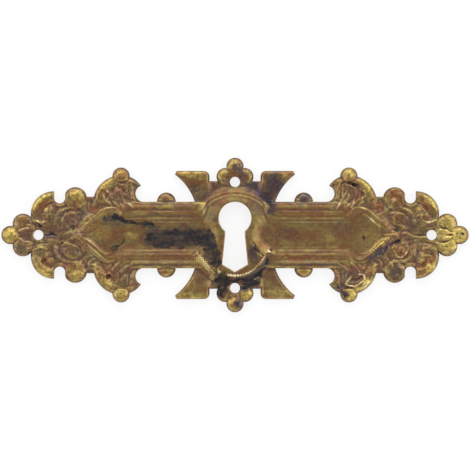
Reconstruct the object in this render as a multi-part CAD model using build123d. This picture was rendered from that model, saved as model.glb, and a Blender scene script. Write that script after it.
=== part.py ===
"""Pressed brass keyhole escutcheon for a drawer or a cabinet door.

One sheet of brass is stamped between a die and a punch, then pierced for the key and for four
escutcheon pins. The die gives the front: a low flange, a reeded bar whose channel opens into a spear
point at each end, an oval boss round the keyhole, and beads, scrolls and leaves round the edge. The
punch gives the back: the same forms drawn in by one thickness of sheet, so the back is hollow.

Frame: the back lies on Z = 0, +Z points out of the front, +X runs along the plate and +Y points
to the round end of the keyhole. The ornament repeats in all four quadrants, so each form is placed
once, at +X and +Y, and mirrored. Lengths are in millimetres, angles in degrees.
"""

import os
from math import atan2, cos, degrees, hypot, radians, sin

from build123d import *

# Sheet, and levels of the front above the back plane
sheet = 0.55
flange_top = 0.95
floor_top = 1.55  # floor of the bar's channel
punch_entry = 1.0  # how far the punch starts below the back plane

# Pins and keyhole
pin_span = 86.4  # between the two end pins
pin_rise = 23.3  # between the upper and lower pins
pin_hole = 2.2
bow_radius = 3.58
bow_height = 3.7  # centre of the round end above the plate's centre
neck_width = 4.3
blade_width = 5.6
blade_drop = 6.45  # where the straight sides end below the plate's centre
blade_point = 8.1  # lowest point of the V foot

# Bar, with a reeded moulding along each edge
bar_half = 7.3
reed_half = 4.15  # crest of the main reed, from the bar's centre line
reed_width = 1.6
reed_top = 2.3
outer_reed_half = 5.8
outer_reed_width = 0.75
inner_reed_half = 3.15
inner_reed_width = 0.5

# Spear point at each end of the channel, set back from the end pin
spear_neck_back = 18.5
spear_crown_back = 17.0
spear_crown_half = 5.4
spear_shoulder_back = 15.1
spear_shoulder_half = 5.3
spear_waist_back = 12.0
spear_waist_half = 2.5
spear_tip_back = 8.5
stem_width = 1.9
stem_rise = 0.75
stem_groove_length = 2.9
stem_groove_width = 0.8

# Oval boss round the keyhole
boss_half_width = 8.65
boss_half_height = 9.75
boss_drop = 0.4  # centre of the oval below the plate's centre
boss_flank = 0.3  # draft of its side
boss_shoulder_top = 1.9
boss_crest_inset = 1.1
boss_crest_top = 2.9
boss_dish_inset = 2.2
boss_dish_top = 2.6
channel_end = 5.1  # where the channel runs out against the keyhole
channel_half = 2.75

# Beads: on the bar's edges, on the leaf ears, at the two tips and on the trefoils
bead_rise = 1.3  # crown of a bead above the flange
button_ledge = 0.2  # narrow rim of flange left round each bead and lobe
button_facets = 10
small_facets = 7  # eyes, volutes and the dimples behind
brow_rise = 0.65  # share of a cap's rise where its facets turn
brow_radius = 0.75  # share of its radius there
crown_radius = 0.3  # and at its flat crown
bar_bead_x = 15.08
bar_bead_radius = 2.05
ear_bead_radius = 1.9
tip_bead_radius = 2.03
tip_bead_out = 6.1  # beyond the end pin
trefoil_bead_radius = 1.9
trefoil_bead_out = 3.43  # beyond the upper pin

# Palmette round each end pin, trefoil round the upper and lower pins, round lobe by each slot
lobe_rise = 0.95  # crown of a lobe above the flange
palm_lobe_out = 3.4
palm_lobe_half = 2.42
palm_lobe_radius = 2.28
petal_root_out = 4.6
petal_reach = 3.7
petal_spread = (0.75, 2.0)  # half spacing of the petals at their tips
petal_width = 1.15
petal_rise = 0.55
trefoil_lobe_out = 1.14
trefoil_lobe_half = 2.12
trefoil_lobe_radius = 1.95
lobe_back = 8.1
lobe_half = 7.98
lobe_radius = 2.54
bridge_half = 8.42  # straight edge between the round lobe and the leaf ear

# C-scroll with its slot, and the volute behind it
scroll_back = 3.32
scroll_half = 4.62
scroll_radius = 5.0
scroll_width = 1.7
scroll_start = -25.0
scroll_turn = 118.0
scroll_rise = 0.9
slot_back = 4.66
slot_width = 2.46
slot_floor_half = 6.95
tail_width = 1.1
tail_rise = 0.7
eye_radius = 0.85
eye_rise = 0.55
eye_out = 1.7  # from the scroll's centre
volute_back = 6.9
volute_half = 3.95
volute_radius = 1.85
volute_rise = 0.6

# Leaf ear over the shoulder of the spear
ear_back = 18.16
ear_bead_half = 12.94
ear_arc_radius = 6.15
ear_crest_half = 13.12  # top of its round back, under the bead
ear_tip_inset = 4.29
ear_tip_drop = 1.99
ear_brow = 0.6  # bulge of its front edge
notch_inset = 4.97
notch_radius = 1.8
ear_rim_width = 1.6
ear_rim_turn = 70.0
leaf_width = 1.75
leaf_rise = 0.8
curl_out = 2.7
curl_half = 9.3
curl_radius = 1.5
curl_rise = 0.6

# Flared ears above and below the boss
flare_root = 8.6
flare_tip = 13.2
flare_top_out = 2.42  # top edge beyond the upper pin
flare_inner = 5.6
flare_sag = 0.67  # hollow of its flank
flare_horn = 0.78
flare_face = 1.55
flare_bevel = 0.45
flare_corner = 1.2
gap_floor_out = 0.18  # floor of the gap between ear and trefoil, beyond the pin

# Places that follow from the sizes above
pin_x = pin_span / 2
pin_y = pin_rise / 2
tray_top = flange_top - sheet
spear_tip = pin_x - spear_tip_back
spear_neck = pin_x - spear_neck_back
scroll_x = pin_x - scroll_back
slot_x = pin_x - slot_back
slot_mouth = scroll_half + scroll_radius + slot_width
lobe_x = pin_x - lobe_back
volute_x = pin_x - volute_back
ear_x = pin_x - ear_back
ear_arc_half = ear_crest_half - ear_arc_radius
flare_top = pin_y + flare_top_out
gap_floor = pin_y + gap_floor_out


def quarters(form):
    """A form and its mirror images in the other three quadrants."""
    pair = [form, mirror(form, Plane.YZ)]
    return pair + [mirror(half, Plane.XZ) for half in pair]


def ends(form):
    """A form on the long centre line and its mirror image at the other end."""
    return [form, mirror(form, Plane.YZ)]


def top_and_bottom(form):
    """A form on the short centre line and its mirror image below."""
    return [form, mirror(form, Plane.XZ)]


def prism(face, bottom, top):
    """A footprint carried from one level to another."""
    return extrude(Pos(0, 0, bottom) * face, top - bottom)


def disc(x, y, radius):
    """A round footprint."""
    return Pos(x, y) * Circle(radius)


def block(left, right, low, high):
    """A square-cornered footprint."""
    return Pos((left + right) / 2, (low + high) / 2) * Rectangle(right - left, high - low)


def frustum(facets, radius, top_radius, bottom, top):
    """A many-sided block that narrows from one level to another."""
    lean = degrees(atan2(radius - top_radius, top - bottom))
    base = RegularPolygon(radius, facets, major_radius=False)
    return extrude(Pos(0, 0, bottom) * base, top - bottom, taper=lean)


def cap(x, y, radius, rise, facets):
    """The round cap of a bead, lobe or eye, cut in two tiers of facets above the flange."""
    brow = flange_top + brow_rise * rise
    foot = prism(RegularPolygon(radius, facets, major_radius=False), tray_top, flange_top)
    lower = frustum(facets, radius, brow_radius * radius, flange_top, brow)
    upper = frustum(facets, brow_radius * radius, crown_radius * radius, brow, flange_top + rise)
    return Pos(x, y) * (foot + lower + upper)


def dimple(x, y, radius, rise):
    """The punch mark behind a cap, drawn in by one thickness of sheet."""
    mouth = radius - sheet
    return Pos(x, y) * frustum(small_facets, mouth, mouth / 2, -punch_entry, tray_top + rise)


def ridge_section(width, bottom, top):
    """Section of a moulding: upright at its foot, bevelled to each side of a flat crest."""
    corners = [(width / 2, bottom), (width / 2, top - width / 3), (width / 5, top)]
    return make_face(Polyline(*corners, *((-x, z) for x, z in reversed(corners)), close=True))


def channel_section(width, crest):
    """Section of the hollow behind a moulding, drawn in by one thickness of sheet."""
    top = crest - sheet
    return Pos(0, (top - punch_entry) / 2) * Rectangle(width - 2 * sheet, top + punch_entry)


def ring(x, y, bend, section, start, turn):
    """A section carried round part of a circle about a point."""
    swept = revolve(Plane.XZ * Pos(bend, 0) * section, Axis.Z, revolution_arc=turn)
    return Pos(x, y) * Rot(0, 0, start) * swept


def leaf(foot, tip, width, rise):
    """A pointed leaf, ridged to its middle, that lies on the flange between two points."""
    run = (tip[0] - foot[0], tip[1] - foot[1])
    length = hypot(*run)
    edge = [(0, 0), (length / 3, width / 2), (2 * length / 3, width / 2), (length, 0)]
    base = make_face(Polyline(*edge, *((x, -y) for x, y in edge[2:0:-1]), close=True))
    blade = loft([base, Vertex(length / 2, 0, rise)])
    return Plane((*foot, flange_top), x_dir=(*run, 0), z_dir=(0, 0, 1)) * blade


def ear_footprint():
    """The leaf ear: a round back up to its bead, a pointed front and a round notch below it."""
    heel = (ear_x + ear_arc_radius, ear_arc_half)
    crest = (ear_x, ear_crest_half)
    tip = (ear_x - ear_tip_inset, ear_bead_half - ear_tip_drop)
    notch = (ear_x - notch_inset, bar_half + notch_radius)
    blank = make_face(
        [
            Line((heel[0], 0), heel),
            CenterArc((ear_x, ear_arc_half), ear_arc_radius, 0, 90),
            SagittaArc(crest, tip, -ear_brow),
            Polyline(tip, notch, (notch[0], 0), (heel[0], 0)),
        ]
    )
    return blank - disc(*notch, notch_radius)


def flare_footprint():
    """The flared ear: a hollow flank, a square top edge and a rounded inner corner."""
    base = bar_half - outer_reed_width
    horn = (flare_tip, flare_top - flare_horn)
    blank = make_face(
        [
            Line((flare_inner, base), (flare_root, base)),
            SagittaArc((flare_root, base), horn, flare_sag),
            Polyline(horn, (flare_tip - flare_horn / 2, flare_top), (flare_inner, flare_top)),
            Line((flare_inner, flare_top), (flare_inner, base)),
        ]
    )
    inner_corner = blank.vertices().group_by(Axis.Y)[-1].sort_by(Axis.X)[0]
    return fillet(inner_corner, flare_corner)


def slot_footprint():
    """The round-floored slot between the C-scroll and the round lobe."""
    centre = slot_floor_half + slot_width / 2
    walls = block(slot_x - slot_width / 2, slot_x + slot_width / 2, centre, slot_mouth)
    return walls + disc(slot_x, centre, slot_width / 2)


def keyhole_footprint():
    """The keyhole: a round bow, sides that spread downwards and a V foot."""
    blade = Polyline(
        (-neck_width / 2, 0),
        (-blade_width / 2, -blade_drop),
        (0, -blade_point),
        (blade_width / 2, -blade_drop),
        (neck_width / 2, 0),
        (neck_width / 2, bow_height),
        (-neck_width / 2, bow_height),
        close=True,
    )
    return make_face(blade) + disc(0, bow_height, bow_radius)


def core_footprint():
    """The blank without its round buttons and slots, as the union of its parts' footprints."""
    shapes = [block(-flare_inner, flare_inner, -gap_floor, gap_floor)]
    shapes += top_and_bottom(
        block(-trefoil_lobe_half / 2, trefoil_lobe_half / 2, 0, pin_y + trefoil_bead_out)
    )
    shapes += ends(block(ear_x, scroll_x, -bridge_half, bridge_half))
    shapes += ends(block(scroll_x, pin_x + palm_lobe_out, -palm_lobe_half, palm_lobe_half))
    shapes += ends(block(pin_x, pin_x + tip_bead_out, -tip_bead_radius / 2, tip_bead_radius / 2))
    for footprint in (ear_footprint(), flare_footprint(), disc(scroll_x, scroll_half, scroll_radius)):
        shapes += quarters(footprint)
    bar = block(-lobe_x, lobe_x, -bar_half, bar_half)
    return bar + shapes


def tray_footprint():
    """The shallow tray behind the flange, drawn in from the blank by one sheet, with straight sides."""
    reach = ear_arc_radius - sheet
    back = [(reach * cos(radians(turn)), reach * sin(radians(turn))) for turn in range(0, 91, 30)]
    front_x = ear_x - notch_inset + notch_radius + sheet
    ear = [(ear_x + x, ear_arc_half + y) for x, y in back]
    ear += [(front_x, ear_bead_half - ear_tip_drop), (front_x, 0), (ear_x + reach, 0)]
    scroll = Pos(scroll_x, scroll_half) * RegularPolygon(scroll_radius - sheet, button_facets)
    slot_wall = slot_width / 2 + sheet
    slot = block(slot_x - slot_wall, slot_x + slot_wall, slot_floor_half - sheet, slot_mouth)
    shapes = [block(sheet - flare_inner, flare_inner - sheet, sheet - gap_floor, gap_floor - sheet)]
    shapes += ends(block(ear_x, scroll_x, sheet - bridge_half, bridge_half - sheet))
    shapes += ends(block(scroll_x, pin_x + palm_lobe_out, -palm_lobe_half, palm_lobe_half))
    shapes += quarters(make_face(Polyline(*ear, close=True))) + quarters(scroll)
    bar = block(-lobe_x, lobe_x, sheet - bar_half, bar_half - sheet)
    return bar + shapes - quarters(slot)


def spear_points():
    """Crest of the main reed over one quadrant, from the neck of the spear to its tip."""
    return [
        (spear_neck, reed_half),
        (pin_x - spear_crown_back, spear_crown_half),
        (pin_x - spear_shoulder_back, spear_shoulder_half),
        (pin_x - spear_waist_back, spear_waist_half),
        (spear_tip, 0),
    ]


def bar_forms():
    """The bar: its channel floor, the main reed round it and the fine reeds beside it."""
    upper = spear_points()
    lower = [(x, -y) for x, y in reversed(upper[:-1])]
    path = Polyline((0, reed_half), *upper, *lower, (0, -reed_half))
    floor = make_face([path, Line(path @ 1, path @ 0)])
    across = Plane(path @ 0, x_dir=(0, 1, 0), z_dir=(1, 0, 0))
    fronts = [prism(floor, tray_top, floor_top)]
    hollows = [prism(floor, -punch_entry, floor_top - sheet)]
    reed = ridge_section(reed_width, tray_top, reed_top)
    groove = channel_section(reed_width, reed_top)
    fronts.append(sweep(across * reed, path=path, transition=Transition.RIGHT))
    hollows.append(sweep(across * groove, path=path, transition=Transition.RIGHT))
    fronts = [half for form in fronts for half in ends(form)]
    hollows = [half for form in hollows for half in ends(form)]
    for half, width, level, reach in (
        (outer_reed_half, outer_reed_width, flange_top, ear_x),
        (inner_reed_half, inner_reed_width, floor_top, spear_neck),
    ):
        section = Plane.YZ * Pos(half, 0) * ridge_section(width, level - sheet / 2, level + width / 2)
        fronts += top_and_bottom(extrude(section, reach, both=True))
    return fronts, hollows


def boss_oval(inset, level):
    """One level of the oval boss, drawn in from its foot."""
    return Pos(0, -boss_drop, level) * Ellipse(boss_half_width - inset, boss_half_height - inset)


def channel_end_footprint(wall):
    """The round end of the channel where it meets the boss, with a wall's width to spare."""
    half = channel_half + wall
    centre = channel_end + channel_half
    return block(centre, boss_half_width + half, -half, half) + disc(centre, 0, half)


def boss_forms():
    """The oval boss, with its crest ring and shallow dish, and the channel's ends cut into it."""
    front = loft(
        [
            boss_oval(0, tray_top),
            boss_oval(boss_flank, boss_shoulder_top),
            boss_oval(boss_crest_inset, boss_crest_top),
            boss_oval(boss_dish_inset, boss_dish_top),
        ],
        ruled=True,
    )
    hollow = loft(
        [
            boss_oval(sheet, -punch_entry),
            boss_oval(boss_flank + sheet, boss_shoulder_top - sheet),
            boss_oval(boss_dish_inset, boss_dish_top - sheet),
        ],
        ruled=True,
    )
    front -= ends(prism(channel_end_footprint(0), floor_top, boss_crest_top + sheet))
    hollow -= ends(prism(channel_end_footprint(sheet), floor_top - sheet, boss_crest_top))
    return [front], [hollow]


def buttons():
    """Each bead and lobe in its first place: how it repeats, its centre, its radius and its rise."""
    return [
        (quarters, bar_bead_x, bar_half, bar_bead_radius, bead_rise),
        (quarters, ear_x, ear_bead_half, ear_bead_radius, bead_rise),
        (ends, pin_x + tip_bead_out, 0, tip_bead_radius, bead_rise),
        (top_and_bottom, 0, pin_y + trefoil_bead_out, trefoil_bead_radius, bead_rise),
        (quarters, lobe_x, lobe_half, lobe_radius, lobe_rise),
        (quarters, pin_x + palm_lobe_out, palm_lobe_half, palm_lobe_radius, lobe_rise),
        (quarters, trefoil_lobe_half, pin_y + trefoil_lobe_out, trefoil_lobe_radius, lobe_rise),
    ]


def button_forms():
    """The caps of all beads and lobes, and their dimples."""
    fronts = []
    hollows = []
    for repeat, x, y, radius, rise in buttons():
        inner = radius - button_ledge
        fronts += repeat(cap(x, y, inner, rise, button_facets))
        hollows += repeat(dimple(x, y, inner, rise))
    return fronts, hollows


def scroll_forms():
    """The C-scrolls, the rims of the leaf ears, and the volutes and eyes that lie inside them."""
    crest = flange_top + scroll_rise
    rims = [
        (scroll_x, scroll_half, scroll_radius, scroll_width, scroll_start, scroll_turn),
        (ear_x, ear_arc_half, ear_arc_radius, ear_rim_width, 0, ear_rim_turn),
    ]
    fronts = []
    for x, y, radius, width, start, turn in rims:
        section = ridge_section(width, tray_top, crest)
        fronts += quarters(ring(x, y, radius - width / 2, section, start, turn))
    for x, y, radius, rise in (
        (volute_x, volute_half, volute_radius, volute_rise),
        (ear_x + curl_out, curl_half, curl_radius, curl_rise),
        (scroll_x + eye_out, scroll_half, eye_radius, eye_rise),
    ):
        fronts += quarters(cap(x, y, radius, rise, small_facets))
    return fronts


def leaf_forms():
    """Palmette petals, the tails of the C-scrolls, the ears' leaves and the stems by the end pins."""
    root = (pin_x + petal_root_out, 0)
    tail_foot = (pin_x + tail_width, scroll_half - tail_width)
    under_bead = (ear_x, ear_bead_half - ear_bead_radius)
    blades = [
        leaf(tail_foot, (scroll_x, scroll_half / 3), tail_width, tail_rise),
        leaf(under_bead, (ear_x - leaf_width, bar_half), leaf_width, leaf_rise),
        leaf(under_bead, (ear_x + leaf_width / 2, bar_half), leaf_width, leaf_rise),
    ]
    for half in petal_spread:
        blades.append(leaf(root, (root[0] - petal_reach, half), petal_width, petal_rise))
    fronts = []
    for blade in blades:
        fronts += quarters(blade)
    stem = leaf((spear_tip - reed_width / 2, 0), (pin_x, 0), stem_width, stem_rise)
    groove_x = pin_x - pin_hole / 2 - stem_groove_length / 2
    groove = Pos(groove_x, 0) * SlotOverall(stem_groove_length, stem_groove_width)
    fronts += ends(stem - prism(groove, flange_top, flange_top + stem_rise))
    return fronts


def flare_forms():
    """The flared ears, bevelled round their faces."""
    footprint = flare_footprint()
    shoulder = flare_face - flare_bevel
    bevel = extrude(Pos(0, 0, shoulder) * footprint, flare_bevel, taper=45)
    front = prism(footprint, tray_top, shoulder) + bevel
    hollow = prism(offset(footprint, -sheet - flare_bevel), -punch_entry, flare_face - sheet)
    return quarters(front), quarters(hollow)


outline = core_footprint()
for repeat, x, y, radius, rise in buttons():
    outline += repeat(disc(x, y, radius))

die = [prism(outline, 0, flange_top)]
punch = [prism(tray_footprint(), -punch_entry, tray_top)]
for fronts, hollows in (bar_forms(), boss_forms(), button_forms(), flare_forms()):
    die += fronts
    punch += hollows
die += scroll_forms() + leaf_forms()

piercings = [keyhole_footprint()] + quarters(slot_footprint())
piercings += ends(disc(pin_x, 0, pin_hole / 2)) + top_and_bottom(disc(0, pin_y, pin_hole / 2))

escutcheon_plate = die[0] + die[1:]
escutcheon_plate -= punch
escutcheon_plate -= [prism(piercing, -punch_entry, boss_crest_top + punch_entry) for piercing in piercings]

os.makedirs("parts", exist_ok=True)
export_step(escutcheon_plate, "parts/escutcheon_plate.step")
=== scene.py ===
"""Aged stamped brass keyhole escutcheon, dressed around its packed plate in a plain pale studio.

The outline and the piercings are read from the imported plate. The ornament is pressed, form by form,
into a height map of the front, and the map then shapes one closed sheet with a hollow back. Ornament
sizes are in millimetres, and Blender's objects are in metres. A form that repeats in the four
quadrants is given once, as (u, v): its distances from the short and from the long centre line.
"""

import logging
import math
from collections.abc import Iterable, Sequence
from dataclasses import dataclass, field
from enum import Enum
from typing import Protocol

import bpy
import numpy as np
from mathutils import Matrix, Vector, geometry, kdtree
from mathutils.bvhtree import BVHTree


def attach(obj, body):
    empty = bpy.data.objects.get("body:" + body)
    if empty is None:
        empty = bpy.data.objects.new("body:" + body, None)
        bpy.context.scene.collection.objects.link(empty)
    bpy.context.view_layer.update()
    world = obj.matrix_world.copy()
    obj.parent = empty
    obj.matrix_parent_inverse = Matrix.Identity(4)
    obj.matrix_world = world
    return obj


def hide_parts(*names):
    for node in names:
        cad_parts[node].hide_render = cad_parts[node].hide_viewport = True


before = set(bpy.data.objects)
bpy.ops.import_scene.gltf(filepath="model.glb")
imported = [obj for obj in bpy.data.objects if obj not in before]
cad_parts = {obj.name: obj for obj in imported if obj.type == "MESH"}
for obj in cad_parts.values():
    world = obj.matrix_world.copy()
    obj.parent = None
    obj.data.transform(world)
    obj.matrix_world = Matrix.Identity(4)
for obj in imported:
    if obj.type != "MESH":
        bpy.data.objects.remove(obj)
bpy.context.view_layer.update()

log = logging.getLogger("escutcheon")

Point = tuple[float, float]
Colour = tuple[float, float, float]
Window = tuple[slice, slice]
Values = np.ndarray | float
Loops = Sequence[np.ndarray]
Skin = tuple[np.ndarray, list[tuple[int, ...]]]
Socket = bpy.types.NodeSocket

MM = 0.001
NODE = "escutcheon_plate"
SLOT = "aged_brass"
WHITE = (1.0, 1.0, 1.0, 1.0)
EVERY_CELL = (slice(None), slice(None))

# Levels of the front above the back plane, in millimetres
SHEET = 0.55
FLANGE = 0.95
FLOOR = 1.55

# How closely a spiral is drawn
LEAST_SPIRAL_POINTS = 6
SPIRAL_POINTS_A_TURN = 10

# How a fold swells and fades from its first point to its last
FOLD_WIDTHS = (0.5, 1.0, 0.6)
FOLD_RISES = (0.45, 0.95, 0.36)


class Corner(Enum):
    """The four quadrants, as the signs of X and Y there."""

    UPPER_RIGHT = (1, 1)
    UPPER_LEFT = (-1, 1)
    LOWER_RIGHT = (1, -1)
    LOWER_LEFT = (-1, -1)


Corners = tuple[Corner, ...]

EVERYWHERE = tuple(Corner)
UPPER_RIGHT, UPPER_LEFT, LOWER_RIGHT, LOWER_LEFT = ((corner,) for corner in Corner)
UPPER = UPPER_RIGHT + UPPER_LEFT
LOWER = LOWER_RIGHT + LOWER_LEFT
RIGHT = UPPER_RIGHT + LOWER_RIGHT
LEFT = UPPER_LEFT + LOWER_LEFT


class Profile(Enum):
    """Cross-sections of a line."""

    BELL = "bell"
    SWELL = "swelling"

    def share(self, offset: np.ndarray) -> np.ndarray:
        """Share of the full rise at an offset from the line, where an offset of 1 is the line's edge."""
        inside = np.clip(1.0 - offset**2, 0.0, 1.0)
        return inside**2 if self is Profile.BELL else inside


class Lay(Enum):
    """How a form meets what is already pressed: moulded up from a level, or chased into the surface."""

    MOULDED = "moulded"
    CHASED = "chased"


@dataclass(frozen=True)
class Stroke:
    """A raised or sunk line of the ornament, drawn smoothly through a few points of a quadrant.

    Half widths and rises are spread evenly along the line. A lean widens the side to the left of its run.
    """

    points: tuple[Point, ...]
    half_width: tuple[float, ...]
    rise: tuple[float, ...]
    corners: Corners = EVERYWHERE
    lay: Lay = Lay.CHASED
    level: float = FLANGE
    profile: Profile = Profile.BELL
    lean: float = 1.0


@dataclass(frozen=True)
class Dome:
    """A round swelling, or a pit where its rise is below zero. A low power makes a steep foot."""

    centre: Point
    radius: float
    rise: float
    corners: Corners = EVERYWHERE
    power: float = 1.0
    lay: Lay = Lay.CHASED


@dataclass(frozen=True)
class Rope:
    """A row of small beads along a moulding, upright or slanting, or of cuts if its rise is below zero."""

    points: tuple[Point, ...]
    half_width: float
    rise: float
    pitch: float
    corners: Corners
    slant: float = 0.0


@dataclass(frozen=True)
class RolledRim:
    """The rolled rim round an ear: an arc of moulding inside the plate's edge, wider on its inner side."""

    centre: Point
    radius: float
    ends: Point
    shares: tuple[float, ...]
    inset: float = 1.05
    half_width: float = 1.15
    rise: float = 0.88
    lean: float = 1.6

    def stroke(self) -> Stroke:
        """The rim as a moulded line.

        Returns:
            The line, which repeats in every quadrant.
        """
        path = arc(self.centre, self.radius - self.inset, *self.ends)
        rises = tuple(share * self.rise for share in self.shares)
        width = (self.half_width,)
        return Stroke(path, width, rises, lay=Lay.MOULDED, profile=Profile.SWELL, lean=self.lean)


@dataclass(frozen=True)
class Waver:
    """A soft random change over the plate: its size, the reach of its waves and the seed of its draw."""

    size: float
    reach: float
    seed: int


@dataclass(frozen=True)
class ColourSpot:
    """A soft-edged oval of colour on the plate, at a place measured from its centre; the ovals lay stains,
    painted shade and painted highlights.
    """

    centre: Point
    reach: Point
    strength: float = 1.0
    turn: float = 0.0


def trace(points: Sequence[Point], spacing: float) -> np.ndarray:
    """Draws a smooth line through points.

    Args:
        points: Points that the line passes through, in millimetres.
        spacing: Greatest distance between samples, in millimetres.

    Returns:
        Samples along the line, one row each.
    """
    knots = np.asarray(points, float)
    padded = np.vstack([2 * knots[0] - knots[1], knots, 2 * knots[-1] - knots[-2]])
    pieces = []
    for before, start, end, after in zip(padded, padded[1:], padded[2:], padded[3:]):
        steps = max(2, math.ceil(float(np.hypot(*(end - start))) / spacing))
        t = np.linspace(0.0, 1.0, steps, endpoint=False)[:, None]
        pull = 2 * before - 5 * start + 4 * end - after
        twist = 3 * start - before - 3 * end + after
        pieces.append(0.5 * (2 * start + (end - before) * t + pull * t**2 + twist * t**3))
    pieces.append(knots[-1:])
    return np.vstack(pieces)


def arc(centre: Point, radius: float, start: float, end: float, count: int = 9) -> tuple[Point, ...]:
    """Points round part of a circle.

    Args:
        centre: Centre of the circle.
        radius: Its radius.
        start: Angle of the first point, in degrees from +u towards +v.
        end: Angle of the last point.
        count: Number of points.

    Returns:
        The points, in order.
    """
    angles = np.radians(np.linspace(start, end, count))
    return tuple((centre[0] + radius * math.cos(a), centre[1] + radius * math.sin(a)) for a in angles)


def spiral(centre: Point, outer: float, inner: float, start: float, turns: float) -> tuple[Point, ...]:
    """Points along a spiral that winds inwards.

    Args:
        centre: Eye of the spiral.
        outer: Radius at its first point.
        inner: Radius at its last point.
        start: Angle of the first point, in degrees.
        turns: Number of turns, below zero for clockwise.

    Returns:
        The points, from the outside in.
    """
    count = max(LEAST_SPIRAL_POINTS, round(abs(turns) * SPIRAL_POINTS_A_TURN))
    points = []
    for share in np.linspace(0.0, 1.0, count):
        angle = math.radians(start + 360.0 * turns * share)
        radius = outer + (inner - outer) * share
        points.append((centre[0] + radius * math.cos(angle), centre[1] + radius * math.sin(angle)))
    return tuple(points)


def fold(points: tuple[Point, ...], half: float, rise: float, corners: Corners = EVERYWHERE) -> Stroke:
    """A soft fold, chased over what lies under it and fading at both ends.

    Args:
        points: Points along the fold.
        half: Half its greatest width.
        rise: Its greatest rise, below zero for a hollow.
        corners: The quadrants that it is pressed in.

    Returns:
        The stroke.
    """
    widths = tuple(share * half for share in FOLD_WIDTHS)
    rises = tuple(share * rise for share in FOLD_RISES)
    return Stroke(points, widths, rises, corners)


def ease(value: np.ndarray, low: float, high: float) -> np.ndarray:
    """A smooth step from 0 at low to 1 at high."""
    t = np.clip((value - low) / (high - low), 0.0, 1.0)
    return t * t * (3.0 - 2.0 * t)


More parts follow.
